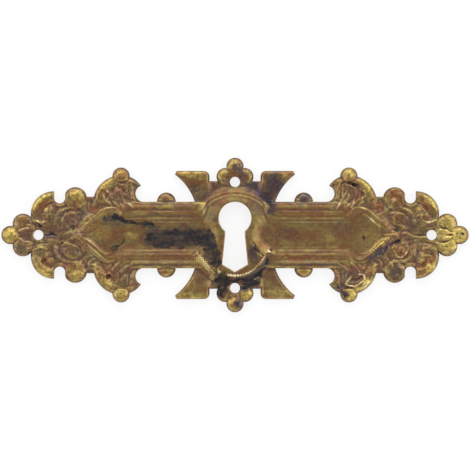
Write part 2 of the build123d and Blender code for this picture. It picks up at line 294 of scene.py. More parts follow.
class Relief:
    """Height map of the plate's front, in millimetres above its back, on a square grid."""

    def __init__(self, half_length: float, half_height: float, pitch: float, level: float) -> None:
        """Makes a level map.

        Args:
            half_length: Reach of the map along X.
            half_height: Reach of the map along Y.
            pitch: Side of a cell.
            level: Height that it starts at.
        """
        self.pitch = pitch
        columns, rows = (math.ceil(half / pitch) for half in (half_length, half_height))
        self.columns = np.arange(-columns, columns + 1) * pitch
        self.rows = np.arange(-rows, rows + 1) * pitch
        self.x, self.y = np.meshgrid(self.columns, self.rows)
        self.u, self.v = np.abs(self.x), np.abs(self.y)
        self.height = np.full(self.x.shape, level)
        self.fine = np.zeros(self.x.shape, bool)
        self.bevel = np.zeros(self.x.shape)

    def window(self, line: np.ndarray, reach: float) -> Window:
        """The rows and columns that lie within a reach of some points.

        Args:
            line: The points.
            reach: The reach.

        Returns:
            Slices of rows and of columns.
        """
        low = line.min(axis=0) - reach
        high = line.max(axis=0) + reach
        first, last = np.searchsorted(self.columns, (low[0], high[0]))
        bottom, top = np.searchsorted(self.rows, (low[1], high[1]))
        return slice(bottom, top), slice(first, last)

    def measure(self, line: np.ndarray, reach: float) -> tuple[Window, np.ndarray, np.ndarray]:
        """Measures the cells near a line.

        Args:
            line: Samples along the line.
            reach: How far from the line cells are looked at.

        Returns:
            The window, each cell's distance from the line, and its nearest sample's index.
        """
        window = self.window(line, reach)
        x, y = self.x[window], self.y[window]
        best = np.full(x.shape, np.inf)
        nearest = np.zeros(x.shape, int)
        for index, (px, py) in enumerate(line):
            gap = (x - px) ** 2 + (y - py) ** 2
            closer = gap < best
            best[closer] = gap[closer]
            nearest[closer] = index
        return window, np.sqrt(best), nearest

    def side(self, window: Window, line: np.ndarray, nearest: np.ndarray) -> np.ndarray:
        """On which side of a line each cell of a window lies, above zero on its left.

        Args:
            window: The window.
            line: Samples along the line.
            nearest: Index of each cell's nearest sample.

        Returns:
            A value for each cell.
        """
        heading = np.gradient(line, axis=0)[nearest]
        ahead, aside = self.x[window] - line[nearest, 0], self.y[window] - line[nearest, 1]
        return heading[..., 0] * aside - heading[..., 1] * ahead

    def lift(self, window: Window, surface: np.ndarray, blend: float = 0.1) -> None:
        """Raises the map to a surface where that is higher, with a small fillet where the two meet.

        Args:
            window: Rows and columns to raise.
            surface: Height of the surface at each of their cells.
            blend: Reach of the fillet.
        """
        old = self.height[window]
        fillet = np.clip(blend - np.abs(surface - old), 0.0, None) ** 2 / (4.0 * blend)
        self.height[window] = np.maximum(old, surface) + fillet

    def shell(self, offset: np.ndarray, rise: Values, merge: float, share: Values = 1.0) -> None:
        """Raises a low round shell that merges softly into the flange.

        Args:
            offset: Each cell's distance from the crown, where 1 is the shell's foot.
            rise: Rise of the crown above the flange.
            merge: Reach of the fillet at the foot.
            share: Share of the rise at each cell.
        """
        crown = (rise + merge) * np.sqrt(np.clip(1.0 - offset**2, 0.0, 1.0)) * share
        self.lift(EVERY_CELL, FLANGE - merge + crown, merge)

    def press(self, *forms: Stroke | Dome | Rope) -> None:
        """Presses forms, one after another.

        Args:
            forms: The forms, in order.
        """
        for form in forms:
            if isinstance(form, Stroke):
                self.stroke(form)
            elif isinstance(form, Dome):
                self.dome(form)
            else:
                self.rope(form)

    def stroke(self, stroke: Stroke) -> None:
        """Presses a line into each of its corners.

        Args:
            stroke: The line.
        """
        path = trace(stroke.points, self.pitch)
        stops = np.linspace(0.0, 1.0, len(path))
        halves = np.interp(stops, np.linspace(0.0, 1.0, len(stroke.half_width)), stroke.half_width)
        rises = np.interp(stops, np.linspace(0.0, 1.0, len(stroke.rise)), stroke.rise)
        for corner in stroke.corners:
            line = path * corner.value
            window, distance, nearest = self.measure(line, halves.max() * stroke.lean)
            half = halves[nearest]
            if stroke.lean != 1.0:
                left = self.side(window, line, nearest) * math.prod(corner.value) > 0.0
                half = np.where(left, half * stroke.lean, half)
            form = rises[nearest] * stroke.profile.share(distance / half)
            if stroke.lay is Lay.CHASED:
                self.height[window] += form
            else:
                self.lift(window, np.where(distance < half, stroke.level + form, 0.0))

    def dome(self, dome: Dome) -> None:
        """Presses a round swelling or pit into each of its corners.

        Args:
            dome: The swelling or pit.
        """
        places = {(dome.centre[0] * sx, dome.centre[1] * sy) for sx, sy in (c.value for c in dome.corners)}
        for place in sorted(places):
            window = self.window(np.array([place]), dome.radius)
            offset = np.hypot(self.x[window] - place[0], self.y[window] - place[1]) / dome.radius
            form = dome.rise * np.clip(1.0 - offset**2, 0.0, 1.0) ** dome.power
            if dome.lay is Lay.CHASED:
                self.height[window] += form
            else:
                self.lift(window, np.where(offset < 1.0, FLANGE + form, 0.0))

    def rope(self, rope: Rope) -> None:
        """Adds a row of beads or cuts along a line in each of its corners.

        Args:
            rope: The row.
        """
        path = trace(rope.points, self.pitch)
        for corner in rope.corners:
            line = path * corner.value
            steps = np.hypot(*np.diff(line, axis=0).T)
            along = np.concatenate([[0.0], np.cumsum(steps)])
            window, distance, nearest = self.measure(line, rope.half_width)
            offset = np.sign(self.side(window, line, nearest)) * distance
            phase = (along[nearest] + rope.slant * offset) / rope.pitch
            swell = (2.0 * (phase - np.floor(phase)) - 1.0) ** 2 + (distance / rope.half_width) ** 2
            self.height[window] += rope.rise * np.sqrt(np.clip(1.0 - swell, 0.0, 1.0))
            self.fine[window] |= distance < rope.half_width

    def blurred(self, radius: float, values: np.ndarray | None = None) -> np.ndarray:
        """The map, or other values on its grid, averaged over a soft spot.

        Args:
            radius: Reach of the spot, in millimetres.
            values: Values to average, or none for the heights.

        Returns:
            The averaged values.
        """
        result = self.height if values is None else values
        half = max(1, round(radius / self.pitch / 2.0))
        for axis in (0, 1, 0, 1):
            pad = [(half + 1, half) if a == axis else (0, 0) for a in (0, 1)]
            sums = np.cumsum(np.pad(result, pad, mode="edge"), axis=axis)
            ahead = np.take(sums, range(2 * half + 1, sums.shape[axis]), axis=axis)
            behind = np.take(sums, range(sums.shape[axis] - 2 * half - 1), axis=axis)
            result = (ahead - behind) / (2 * half + 1)
        return result

    def cloud(self, waver: Waver) -> np.ndarray:
        """Soft random values on the grid, with a mean of 0 and a spread of the waver's size.

        Args:
            waver: Size, reach and seed of the values.

        Returns:
            A value for each cell.
        """
        grain = np.random.default_rng(waver.seed).standard_normal(self.x.shape)
        soft = self.blurred(waver.reach, grain)
        return waver.size * ((soft - soft.mean()) / soft.std())

    def sample(self, values: np.ndarray, points: np.ndarray) -> np.ndarray:
        """Values of a map of this grid at points, interpolated.

        Args:
            values: A value for each cell.
            points: Places in millimetres, one row each.

        Returns:
            A value for each point.
        """
        column = np.clip((points[:, 0] - self.columns[0]) / self.pitch, 0, len(self.columns) - 1.001)
        row = np.clip((points[:, 1] - self.rows[0]) / self.pitch, 0, len(self.rows) - 1.001)
        i, j = row.astype(int), column.astype(int)
        s, t = row - i, column - j
        low = values[i, j] * (1 - t) + values[i, j + 1] * t
        high = values[i + 1, j] * (1 - t) + values[i + 1, j + 1] * t
        return low * (1 - s) + high * s


class Ornament(Protocol):
    """A group of forms that is pressed into the relief together."""

    def press(self, relief: Relief) -> None:
        """Presses the forms."""


@dataclass
class Buttons:
    """The beads and round lobes along the plate's edge, and the trefoils' low shells."""

    beads: tuple[tuple[Point, float], ...] = (
        ((25.04, 12.94), 1.9),
        ((49.3, 0.0), 2.03),
        ((0.0, 15.08), 1.9),
    )
    bead_rise: float = 1.05
    lobes: tuple[tuple[Point, float], ...] = (
        ((35.1, 7.98), 2.54),
        ((46.6, 2.42), 2.28),
        ((2.12, 12.79), 1.95),
    )
    lobe_rise: float = 0.75
    half_bead: Point = (15.08, 7.3)
    half_bead_radius: float = 2.05
    half_bead_rise: float = 0.85
    half_bead_fade: Point = (5.8, 7.9)
    ledge: float = 0.1
    roundness: float = 0.6
    neck: Dome = Dome((0.0, 13.6), 2.6, 0.62, power=0.8, lay=Lay.MOULDED)
    shell: Point = (3.2, 2.4)
    shell_height: float = 12.5
    shell_rise: float = 0.5
    merge: float = 0.35
    dents: tuple[Dome, ...] = (
        Dome((35.3, 7.3), 1.7, -0.24, power=1.2),
        Dome((46.1, 1.9), 1.5, -0.2, power=1.2),
        Dome((1.7, 12.3), 1.3, -0.2, power=1.2),
    )

    def press(self, relief: Relief) -> None:
        """Presses the half beads, lets them die away into the bar, then presses the others.

        Args:
            relief: The map that it is pressed into.
        """
        relief.press(self.bead(self.half_bead, self.half_bead_radius, self.half_bead_rise))
        relief.height = FLANGE + (relief.height - FLANGE) * ease(relief.v, *self.half_bead_fade)
        for group, rise in ((self.beads, self.bead_rise), (self.lobes, self.lobe_rise)):
            relief.press(*(self.bead(centre, radius, rise) for centre, radius in group))
        relief.press(self.neck)
        offset = np.hypot(relief.u / self.shell[0], (relief.v - self.shell_height) / self.shell[1])
        relief.shell(offset, self.shell_rise, self.merge)
        relief.press(*self.dents)

    def bead(self, centre: Point, radius: float, rise: float) -> Dome:
        """A bead or lobe that leaves a narrow ledge of flange round it."""
        return Dome(centre, radius - self.ledge, rise, power=self.roundness, lay=Lay.MOULDED)


@dataclass
class FlaredEar:
    """The flared ears beside the trefoils, with bevelled edges and slightly hollow faces."""

    inner_slope: Point = (4.7, 6.3)
    root_slope: Point = (5.7, 12.3)
    outer: float = 14.6
    face: float = 1.5
    bevel: float = 0.75
    bevel_start: Point = (5.3, 7.9)
    hollow: Dome = Dome((8.8, 11.0), 2.8, -0.16, power=1.5)

    def press(self, relief: Relief) -> None:
        """Raises the faces, marks their edges for bevelling and hollows them.

        Args:
            relief: The map that it is pressed into.
        """
        within = relief.u < self.outer
        share = ease(relief.u, *self.inner_slope) * ease(relief.v, *self.root_slope) * within
        relief.lift(EVERY_CELL, FLANGE + (self.face - FLANGE) * share)
        start_u, start_v = self.bevel_start
        relief.bevel[(relief.u > start_u) & within & (relief.v > start_v)] = self.bevel
        relief.press(self.hollow)


@dataclass
class ReededBar:
    """The long bar: its channel, the shallow reeds along it and the spear point at each end."""

    section: tuple[Point, ...] = (
        (2.2, 1.0), (2.6, 1.52), (3.1, 1.64), (3.7, 1.82), (4.3, 1.98), (4.9, 2.06), (5.5, 2.04),
        (6.1, 1.97), (6.7, 1.87), (7.1, 1.74), (7.3, 1.5),
    )
    spear_path: tuple[Point, ...] = (
        (23.6, 4.0), (25.2, 4.2), (26.2, 4.9), (27.6, 5.15), (28.9, 4.55), (30.4, 3.3), (31.9, 2.0),
        (33.4, 0.85), (34.7, 0.0),
    )
    spear_rim: tuple[float, ...] = (0.7, 1.15, 1.05, 0.8)
    start: Point = (3.0, 7.6)
    fade: Point = (23.4, 29.0)
    fade_share: float = 0.4
    half: float = 7.4
    channel_half: float = 4.0
    narrowest: float = 0.1
    floor_dish: float = 0.14
    dish_level: float = 0.6
    reed_stops: tuple[float, ...] = (7.6, 16.0, 25.2)

    def press(self, relief: Relief) -> None:
        """Presses the channel floor, then the mouldings, the spear rims, the stems and the ropes.

        Args:
            relief: The map that it is pressed into.
        """
        u, v = relief.u, relief.v
        path = trace(((0.0, self.channel_half), *self.spear_path), relief.pitch)
        share = v / np.maximum(np.interp(u, path[:, 0], path[:, 1], right=0.0), self.narrowest)
        inside = (share < 1.0) & (u < self.spear_path[-1][0])
        relief.height[inside] = FLOOR + self.floor_dish * (share[inside] ** 2 - self.dish_level)
        moulding = np.interp(v, *zip(*self.section)) * (v < self.half) * (u < self.fade[1])
        fading = 1.0 - self.fade_share * ease(u, *self.fade)
        relief.lift(EVERY_CELL, moulding * ease(u, *self.start) * fading)
        relief.press(*self.reeds(), *self.rims(), *self.stem(), *self.ropes())

    def reeds(self) -> list[Stroke]:
        """The fine lines along the mouldings, which differ above and below the channel.

        Returns:
            The strokes, in the order of pressing.
        """
        upper = (
            (2.85, 0.16, 0.035), (3.3, 0.18, -0.06), (3.7, 0.18, 0.05), (4.2, 0.26, -0.09),
            (4.75, 0.24, 0.04), (5.4, 0.26, -0.14), (6.1, 0.3, 0.045), (6.75, 0.26, -0.06),
        )
        lower = (
            (2.7, 0.14, 0.025), (3.1, 0.16, -0.03), (3.5, 0.15, 0.025), (3.9, 0.16, -0.03),
            (4.3, 0.16, 0.03), (4.8, 0.24, -0.08), (5.3, 0.26, -0.11), (5.85, 0.28, 0.085),
            (6.5, 0.3, -0.1),
        )
        strokes = []
        for corners, lines in ((UPPER, upper), (LOWER, lower)):
            for level, half, rise in lines:
                points = tuple((stop, level) for stop in self.reed_stops)
                strokes.append(Stroke(points, (half,), (0.0, rise, rise, rise, rise, 0.0), corners))
        return strokes

    def rims(self) -> list[Stroke]:
        """The rim of the spear, softest in the upper right, and the fine lines beside it.

        Returns:
            The strokes, in the order of pressing.
        """
        broad = self.spear_path[1:]
        inner = ((27.2, 4.0), (28.4, 4.2), (29.5, 3.55), (30.7, 2.4), (32.0, 1.3), (33.6, 0.6), (34.8, 0.3))
        outer = ((26.3, 5.5), (27.9, 5.6), (29.3, 4.75), (30.8, 3.4), (32.4, 2.0), (34.0, 0.95), (35.2, 0.5))
        crown = ((24.6, 4.3), (25.2, 5.2), (26.2, 5.9), (27.4, 6.0), (28.6, 5.5))
        scratch = ((28.0, 0.0), (28.5, 0.8), (28.2, 1.4), (28.6, 2.1), (28.9, 2.9))
        keel = ((31.6, 0.0), (33.0, 0.0), (35.0, 0.0))
        crisp = UPPER_LEFT + LOWER
        return [
            Stroke(broad, (1.2, 2.4, 3.0, 2.6), (0.4, 0.62, 0.64, 0.6), lay=Lay.MOULDED),
            Stroke(broad, self.spear_rim, (0.06, 0.1, 0.09, 0.1), lay=Lay.MOULDED, level=FLOOR),
            Stroke(broad, self.spear_rim, (0.14, 0.26, 0.26, 0.22), crisp, Lay.MOULDED, FLOOR),
            Stroke(crown, (0.2,), (0.08,), UPPER),
            Stroke(inner, (0.26,), (0.09,), LOWER),
            Stroke(outer, (0.32,), (0.11,), LOWER_LEFT),
            Stroke(outer, (0.4,), (-0.1,), LOWER_RIGHT),
            Stroke(scratch, (0.15,), (-0.05,), LOWER_RIGHT),
            Stroke(keel, (0.35,), (0.04, 0.1, 0.06)),
        ]

    def stem(self) -> list[Stroke]:
        """The stem between the spear and the end pin, with its groove.

        Returns:
            The strokes, in the order of pressing.
        """
        ridge = ((34.2, 0.0), (36.2, 0.0), (38.6, 0.0), (42.0, 0.0))
        groove = ((38.9, 0.0), (40.4, 0.0), (42.1, 0.0))
        return [
            Stroke(ridge, (1.0, 1.3, 1.2, 0.9), (0.42, 0.28, 0.22, 0.2), lay=Lay.MOULDED),
            Stroke(groove, (0.2, 0.48, 0.5), (-0.08, -0.25, -0.25)),
        ]

    def ropes(self) -> list[Rope]:
        """The cuts and beads on the rim of the spear, each quadrant in its own state of wear.

        Returns:
            The rows, in the order of pressing.
        """
        rim = self.spear_path[2:-1]
        upper_row = ((28.0, 4.6), (29.2, 3.9), (30.6, 2.7), (31.8, 1.7))
        lower_row = ((28.4, 4.9), (29.6, 4.1), (31.0, 2.9), (32.4, 1.75), (33.6, 0.95))
        return [
            Rope(rim, 0.9, -0.12, 0.52, UPPER_LEFT, slant=0.1),
            Rope(rim[1:], 0.6, -0.04, 0.6, UPPER_RIGHT, slant=0.2),
            Rope(upper_row, 0.26, 0.12, 0.6, UPPER_RIGHT),
            Rope(lower_row, 0.28, 0.22, 0.7, LOWER_RIGHT),
        ]


@dataclass
class KeyholeBoss:
    """The oval boss round the keyhole: gentle above, with a roped crest below."""

    half_width: float = 8.65
    half_height: float = 9.75
    drop: float = 0.4
    upper_section: tuple[Point, ...] = (
        (-2.4, 0.7), (0.0, 1.5), (0.8, 1.73), (1.8, 2.02), (2.8, 2.26), (4.0, 2.4), (9.0, 2.42),
    )
    lower_section: tuple[Point, ...] = (
        (-0.05, 0.0), (0.0, 1.05), (0.6, 1.7), (1.1, 2.3), (1.6, 2.5), (2.2, 2.5), (3.2, 2.45),
        (9.0, 2.45),
    )
    left_change: Point = (-10.0, -1.0)
    right_change: Point = (-3.2, 0.5)
    channel_end: float = 5.1
    channel_half: float = 2.75
    channel_slope: Point = (-1.7, 1.3)
    fillet: float = 0.2
    crest_inset: float = 1.15
    rope_end: float = 26.0
    rope_stops: int = 9
    left_stop: int = 4
    hatch_slant: float = 0.9
    band: tuple[Point, ...] = ((8.6, 4.4), (7.4, 5.5), (6.1, 6.9), (4.9, 8.3))

    def press(self, relief: Relief) -> None:
        """Presses the oval, with the channel's ends left out of it, and lays the arches and the ropes.

        Args:
            relief: The map that it is pressed into.
        """
        x, y = relief.x, relief.y
        ring = np.hypot(x / self.half_width, (y + self.drop) / self.half_height)
        inset = (1.0 - ring) * (self.half_width + self.half_height) / 2.0
        upper, lower = (np.interp(inset, *zip(*part)) for part in (self.upper_section, self.lower_section))
        rising = np.where(x < 0.0, ease(y, *self.left_change), ease(y, *self.right_change))
        oval = upper * rising + lower * (1.0 - rising)
        centre = self.channel_end + self.channel_half
        depth = self.channel_half - np.where(relief.u > centre, relief.v, np.hypot(relief.u - centre, y))
        cut = ease(depth, *self.channel_slope)
        relief.lift(EVERY_CELL, oval * (1.0 - cut) + relief.height * cut * (inset > 0.0), self.fillet)
        relief.press(*self.arches(), *self.knots(), *self.ropes())

    def arches(self) -> list[Stroke]:
        """The lower left band, the low ridges round the boss and the crease by the keyhole's foot.

        Returns:
            The strokes, in the order of pressing.
        """
        inner = ((0.0, 8.75), (1.6, 8.6), (3.1, 8.15), (5.0, 7.2), (6.2, 6.0), (7.0, 4.7))
        seam = ((0.0, 9.05), (1.7, 8.9), (3.4, 8.45), (5.3, 7.5), (6.6, 6.25), (7.5, 4.9))
        outer = ((0.0, 9.4), (1.8, 9.25), (3.7, 8.75), (5.6, 7.8), (7.0, 6.55), (8.0, 5.1))
        lower = ((1.6, 10.4), (3.2, 10.1), (4.8, 9.4), (6.2, 8.3), (7.5, 6.8))
        hollow = ((1.4, 11.0), (3.6, 10.4), (5.6, 9.2), (7.3, 7.4), (8.4, 5.9))
        crease = ((3.7, 1.3), (4.6, 2.5), (5.3, 3.6), (6.2, 4.5))
        return [
            Stroke(self.band, (2.2,), (0.9, 1.0, 0.9), LOWER_LEFT, Lay.MOULDED),
            Stroke(inner, (0.42,), (0.02, 0.035, 0.05, 0.03), UPPER),
            Stroke(seam, (0.26,), (-0.03, -0.045, -0.05, -0.03), UPPER),
            Stroke(outer, (0.42,), (0.015, 0.03, 0.06, 0.04), UPPER),
            Stroke(hollow, (0.7,), (-0.07,), UPPER),
            Stroke(lower, (0.4,), (0.18,), LOWER_RIGHT),
            Stroke(crease, (0.35,), (-0.05, -0.28, -0.22), LOWER_RIGHT),
        ]

    def knots(self) -> list[Dome]:
        """The small knots where the bar's reeds run into the boss, and a pit beside one of them.

        Returns:
            The swellings and pits.
        """
        return [
            Dome((8.4, 3.9), 0.55, 0.3, LOWER),
            Dome((3.6, 8.3), 0.4, 0.3, LOWER_LEFT),
            Dome((7.5, 3.6), 0.45, 0.25, LOWER_RIGHT),
            Dome((7.9, 3.3), 0.3, -0.3, LOWER_RIGHT),
        ]

    def ropes(self) -> list[Rope]:
        """The rope along the lower crest, shorter on the left, and the crossed cuts of the left band.

        Returns:
            The rows, in the order of pressing.
        """
        a, b = self.half_width - self.crest_inset, self.half_height - self.crest_inset
        turns = np.radians(np.linspace(self.rope_end, 90.0, self.rope_stops))
        crest = tuple((a * math.cos(t), b * math.sin(t) + self.drop) for t in turns)
        hatch = [
            Rope(self.band, 0.85, 0.13, 0.62, LOWER_LEFT, slant)
            for slant in (self.hatch_slant, -self.hatch_slant)
        ]
        return [
            Rope(crest, 0.38, 0.5, 0.6, LOWER_RIGHT),
            Rope(crest[self.left_stop :], 0.38, 0.4, 0.6, LOWER_LEFT),
            *hatch,
        ]


@dataclass
class LeafEar:
    """The leaf ear over each shoulder of the spear: a rolled rim round a worn acanthus leaf."""

    rim: RolledRim = RolledRim((25.04, 6.97), 6.15, (-4.0, 78.0), (0.4, 1.0, 1.0, 1.0, 0.7))
    swelling: Dome = Dome((25.2, 8.2), 5.4, 0.62, lay=Lay.MOULDED)
    groove_inset: float = 2.75
    span: Point = (20.0, 32.0)
    foot: float = 7.6
    edge: float = 0.45

    def press(self, relief: Relief) -> None:
        """Rounds the edge, then presses the swelling, the rolled rim and the folds of the leaf.

        Args:
            relief: The map that it is pressed into.
        """
        first, last = self.span
        relief.bevel[(relief.u > first) & (relief.u < last) & (relief.v > self.foot)] = self.edge
        relief.press(self.swelling, self.rim.stroke())
        relief.press(*self.leaf(), *self.upper_folds(), *self.lower_folds(), *self.eyes())

    def leaf(self) -> list[Stroke]:
        """The folds that all four leaves share.

        Returns:
            The strokes, in the order of pressing.
        """
        return [
            fold(arc(self.rim.centre, self.rim.radius - self.groove_inset, 6.0, 70.0), 0.5, -0.26),
            fold(((24.3, 12.0), (22.7, 11.75), (21.3, 11.1)), 0.75, 0.35),
            fold(((22.9, 11.3), (22.5, 9.8), (22.4, 8.4), (21.9, 7.2)), 0.5, 0.3),
            fold(((23.5, 12.0), (24.9, 11.5), (26.3, 11.9)), 0.4, -0.28),
            fold(((23.4, 10.8), (23.3, 9.4), (23.0, 8.0)), 0.35, -0.25),
            fold(((25.0, 8.9), (24.6, 7.8), (23.6, 6.9), (22.5, 6.1)), 0.42, 0.34),
            fold(((26.9, 7.7), (26.2, 6.9), (25.3, 6.0)), 0.4, 0.34),
            fold(((25.9, 8.3), (25.2, 7.3), (24.2, 6.4)), 0.3, -0.25),
            fold(((28.6, 7.6), (27.6, 7.0), (27.0, 6.2)), 0.36, 0.28),
            fold(((30.2, 7.2), (30.9, 6.6), (31.8, 6.5)), 0.5, 0.25),
        ]

    def upper_folds(self) -> list[Stroke]:
        """The folds of the upper leaves, with the dark pocket and the curl of the right one.

        Returns:
            The strokes, in the order of pressing.
        """
        return [
            fold(((26.0, 10.3), (25.6, 9.4), (25.4, 8.5)), 0.75, 0.3, UPPER_LEFT),
            fold(((24.7, 10.4), (24.4, 9.6), (23.8, 9.2)), 0.4, -0.4, UPPER_LEFT),
            fold(((28.4, 9.9), (27.7, 9.4), (27.5, 8.6)), 0.35, 0.32, UPPER_LEFT),
            fold(((27.2, 10.6), (26.9, 9.6), (26.8, 8.4)), 0.3, -0.32, UPPER_LEFT),
            fold(((23.6, 7.6), (22.9, 6.7), (22.3, 6.0)), 0.3, 0.32, UPPER_LEFT),
            fold(((25.0, 11.4), (26.0, 11.0), (27.1, 10.2)), 0.5, -0.55, UPPER_RIGHT),
            fold(((27.6, 9.9), (28.4, 9.3), (28.3, 8.3), (27.4, 7.6)), 0.5, 0.42, UPPER_RIGHT),
            fold(((26.9, 9.4), (26.9, 8.4), (26.4, 7.2)), 0.4, -0.36, UPPER_RIGHT),
            fold(((24.5, 9.6), (23.8, 8.4), (23.0, 7.0), (22.2, 5.7)), 0.42, 0.34, UPPER_RIGHT),
            fold(((26.2, 8.2), (25.9, 6.9), (25.5, 5.7)), 0.35, 0.32, UPPER_RIGHT),
        ]

    def lower_folds(self) -> list[Stroke]:
        """The folds of the lower leaves, with the crisp hook of the right one.

        Returns:
            The strokes, in the order of pressing.
        """
        curl = ((28.6, 9.8), (28.3, 8.6), (27.3, 8.6), (27.1, 9.6), (27.9, 10.2))
        hook = ((25.7, 8.9), (24.9, 9.9), (24.4, 10.8), (25.0, 11.2), (26.0, 11.2), (27.1, 10.8))
        loop = ((27.1, 10.8), (28.1, 10.0), (28.4, 9.3), (28.1, 8.75), (27.3, 8.7))
        return [
            fold(curl, 0.36, 0.3, LOWER_LEFT),
            fold(((23.9, 8.6), (24.4, 9.3), (25.2, 10.1)), 0.45, 0.38, LOWER_LEFT),
            fold(((26.2, 10.2), (25.9, 9.0), (26.3, 7.8)), 0.4, -0.3, LOWER_LEFT),
            fold(((26.7, 7.4), (26.4, 6.8), (26.0, 6.2)), 0.3, 0.34, LOWER_LEFT),
            Stroke(hook, (0.34,), (0.2, 0.34, 0.34), LOWER_RIGHT),
            Stroke(loop, (0.34,), (0.34, 0.34, 0.26), LOWER_RIGHT),
            fold(((25.4, 10.4), (26.2, 9.9), (27.2, 9.7)), 0.55, -0.3, LOWER_RIGHT),
            fold(((24.2, 9.8), (24.0, 8.6), (24.6, 7.6)), 0.45, -0.35, LOWER_RIGHT),
        ]

    def eyes(self) -> list[Dome]:
        """The eye of the lower left leaf and a few bright grains on the upper left one.

        Returns:
            The swellings and pits.
        """
        return [
            Dome((27.9, 9.2), 0.5, -0.35, LOWER_LEFT, 1.2),
            Dome((27.9, 9.5), 0.35, 0.22, UPPER_LEFT),
            Dome((27.0, 8.2), 0.4, 0.2, UPPER_LEFT),
            Dome((28.8, 8.4), 0.4, 0.18, UPPER_LEFT),
        ]


@dataclass
class ScrollEnd:
    """The scrolled shoulder at each end: C-scroll, slot, volute and the round lobe's leaf."""

    rim: RolledRim = RolledRim((39.88, 4.62), 5.0, (-14.0, 96.0), (0.3, 0.8, 1.0, 1.0, 1.0))
    swelling: Dome = Dome((40.6, 4.6), 4.4, 0.5, power=0.9, lay=Lay.MOULDED)
    volute: Dome = Dome((36.45, 3.55), 3.0, 0.5, lay=Lay.MOULDED)
    groove_radius: float = 2.35
    slot: Point = (38.54, 8.18)
    lip_radius: float = 1.73
    start: Point = (32.6, 2.2)
    edge: float = 0.45

    def press(self, relief: Relief) -> None:
        """Rounds the edge, then presses the swellings, the rolled rim, and every curl, groove and eye.

        Args:
            relief: The map that it is pressed into.
        """
        start_u, start_v = self.start
        relief.bevel[(relief.u > start_u) & (relief.v > start_v)] = self.edge
        relief.press(self.swelling, self.volute, self.rim.stroke())
        relief.press(*self.curls(), *self.wear(), *self.eyes())

    def curls(self) -> list[Stroke]:
        """The folds and hollows that all four scrolls share, some of them fainter on the left.

        Returns:
            The strokes, in the order of pressing.
        """
        hollow = ((34.2, 5.2), (36.0, 5.2), (37.6, 4.6), (38.4, 3.3))
        ledge = ((34.3, 2.9), (35.3, 2.3), (36.6, 1.9), (38.2, 1.45))
        return [
            fold(arc(self.rim.centre, self.groove_radius, 8.0, 86.0), 0.5, -0.3),
            fold(arc(self.slot, self.lip_radius, 195.0, 345.0), 0.45, 0.25),
            fold(((44.3, 3.3), (43.2, 2.8), (42.2, 2.75), (41.2, 3.1)), 0.42, 0.38),
            fold(((44.6, 2.6), (43.4, 2.0), (42.2, 1.75), (40.8, 1.7)), 0.35, -0.3),
            fold(((35.6, 6.0), (37.3, 5.7), (38.6, 4.9), (39.3, 3.6), (39.5, 2.3)), 0.55, 0.34),
            fold(hollow, 0.38, -0.28, RIGHT),
            fold(hollow, 0.5, -0.16, LEFT),
            fold(ledge, 0.42, 0.3, RIGHT + LOWER_LEFT),
            fold(ledge, 0.42, 0.12, UPPER_LEFT),
            fold(((34.6, 7.4), (34.2, 6.3), (33.4, 5.5), (32.6, 4.7)), 0.55, 0.26),
            fold(((32.2, 7.4), (32.6, 6.3), (32.0, 5.2), (30.9, 4.8)), 0.6, -0.3),
        ]

    def wear(self) -> list[Stroke]:
        """Folds that show in one or two quadrants only, as the stamping and its wear left them.

        Returns:
            The strokes, in the order of pressing.
        """
        ring = ((35.1, 3.5), (35.4, 4.5), (36.5, 5.0), (37.7, 4.1), (38.1, 2.7))
        curl = spiral(self.volute.centre, 1.5, 0.8, 210.0, -0.8)
        return [
            fold(curl, 0.42, 0.26, UPPER_RIGHT),
            fold(curl, 0.42, 0.12, LOWER_LEFT),
            fold(((43.9, 3.5), (42.9, 2.9), (41.8, 2.9)), 0.36, 0.3, UPPER_LEFT),
            fold(((39.0, 2.3), (39.1, 3.2), (39.0, 4.2)), 0.4, 0.3, LOWER_LEFT),
            fold(((39.6, 4.7), (40.4, 5.4), (41.1, 6.0)), 0.28, 0.3, UPPER_RIGHT),
            fold(((40.2, 3.2), (39.8, 3.8), (40.4, 4.3), (40.9, 3.8)), 0.3, 0.28, UPPER_RIGHT),
            fold(ring, 0.4, 0.36, LOWER_RIGHT),
            fold(((41.0, 3.5), (42.2, 3.0), (43.4, 3.4)), 0.3, 0.28, LOWER_RIGHT),
            fold(((41.0, 4.4), (42.2, 4.0), (43.2, 4.5)), 0.3, -0.3, LOWER_RIGHT),
        ]

    def eyes(self) -> list[Dome]:
        """The eyes of the scrolls, the pits between the curls and a blister on one round lobe.

        Returns:
            The swellings and pits.
        """
        return [
            Dome((41.5, 5.4), 0.6, 0.28, UPPER),
            Dome((40.4, 5.5), 0.7, 0.25),
            Dome((40.8, 4.3), 0.75, 0.22),
            Dome((37.1, 4.2), 0.8, 0.2),
            Dome((35.75, 1.75), 1.0, -0.4, power=1.5),
            Dome((37.9, 1.8), 0.55, -0.25, LOWER_LEFT, 1.5),
            Dome((41.9, 5.5), 0.75, -0.4, LOWER_LEFT, 1.2),
            Dome((41.9, 4.2), 0.6, 0.25, UPPER_RIGHT),
            Dome((34.8, 7.7), 0.6, 0.3, UPPER_RIGHT),
        ]


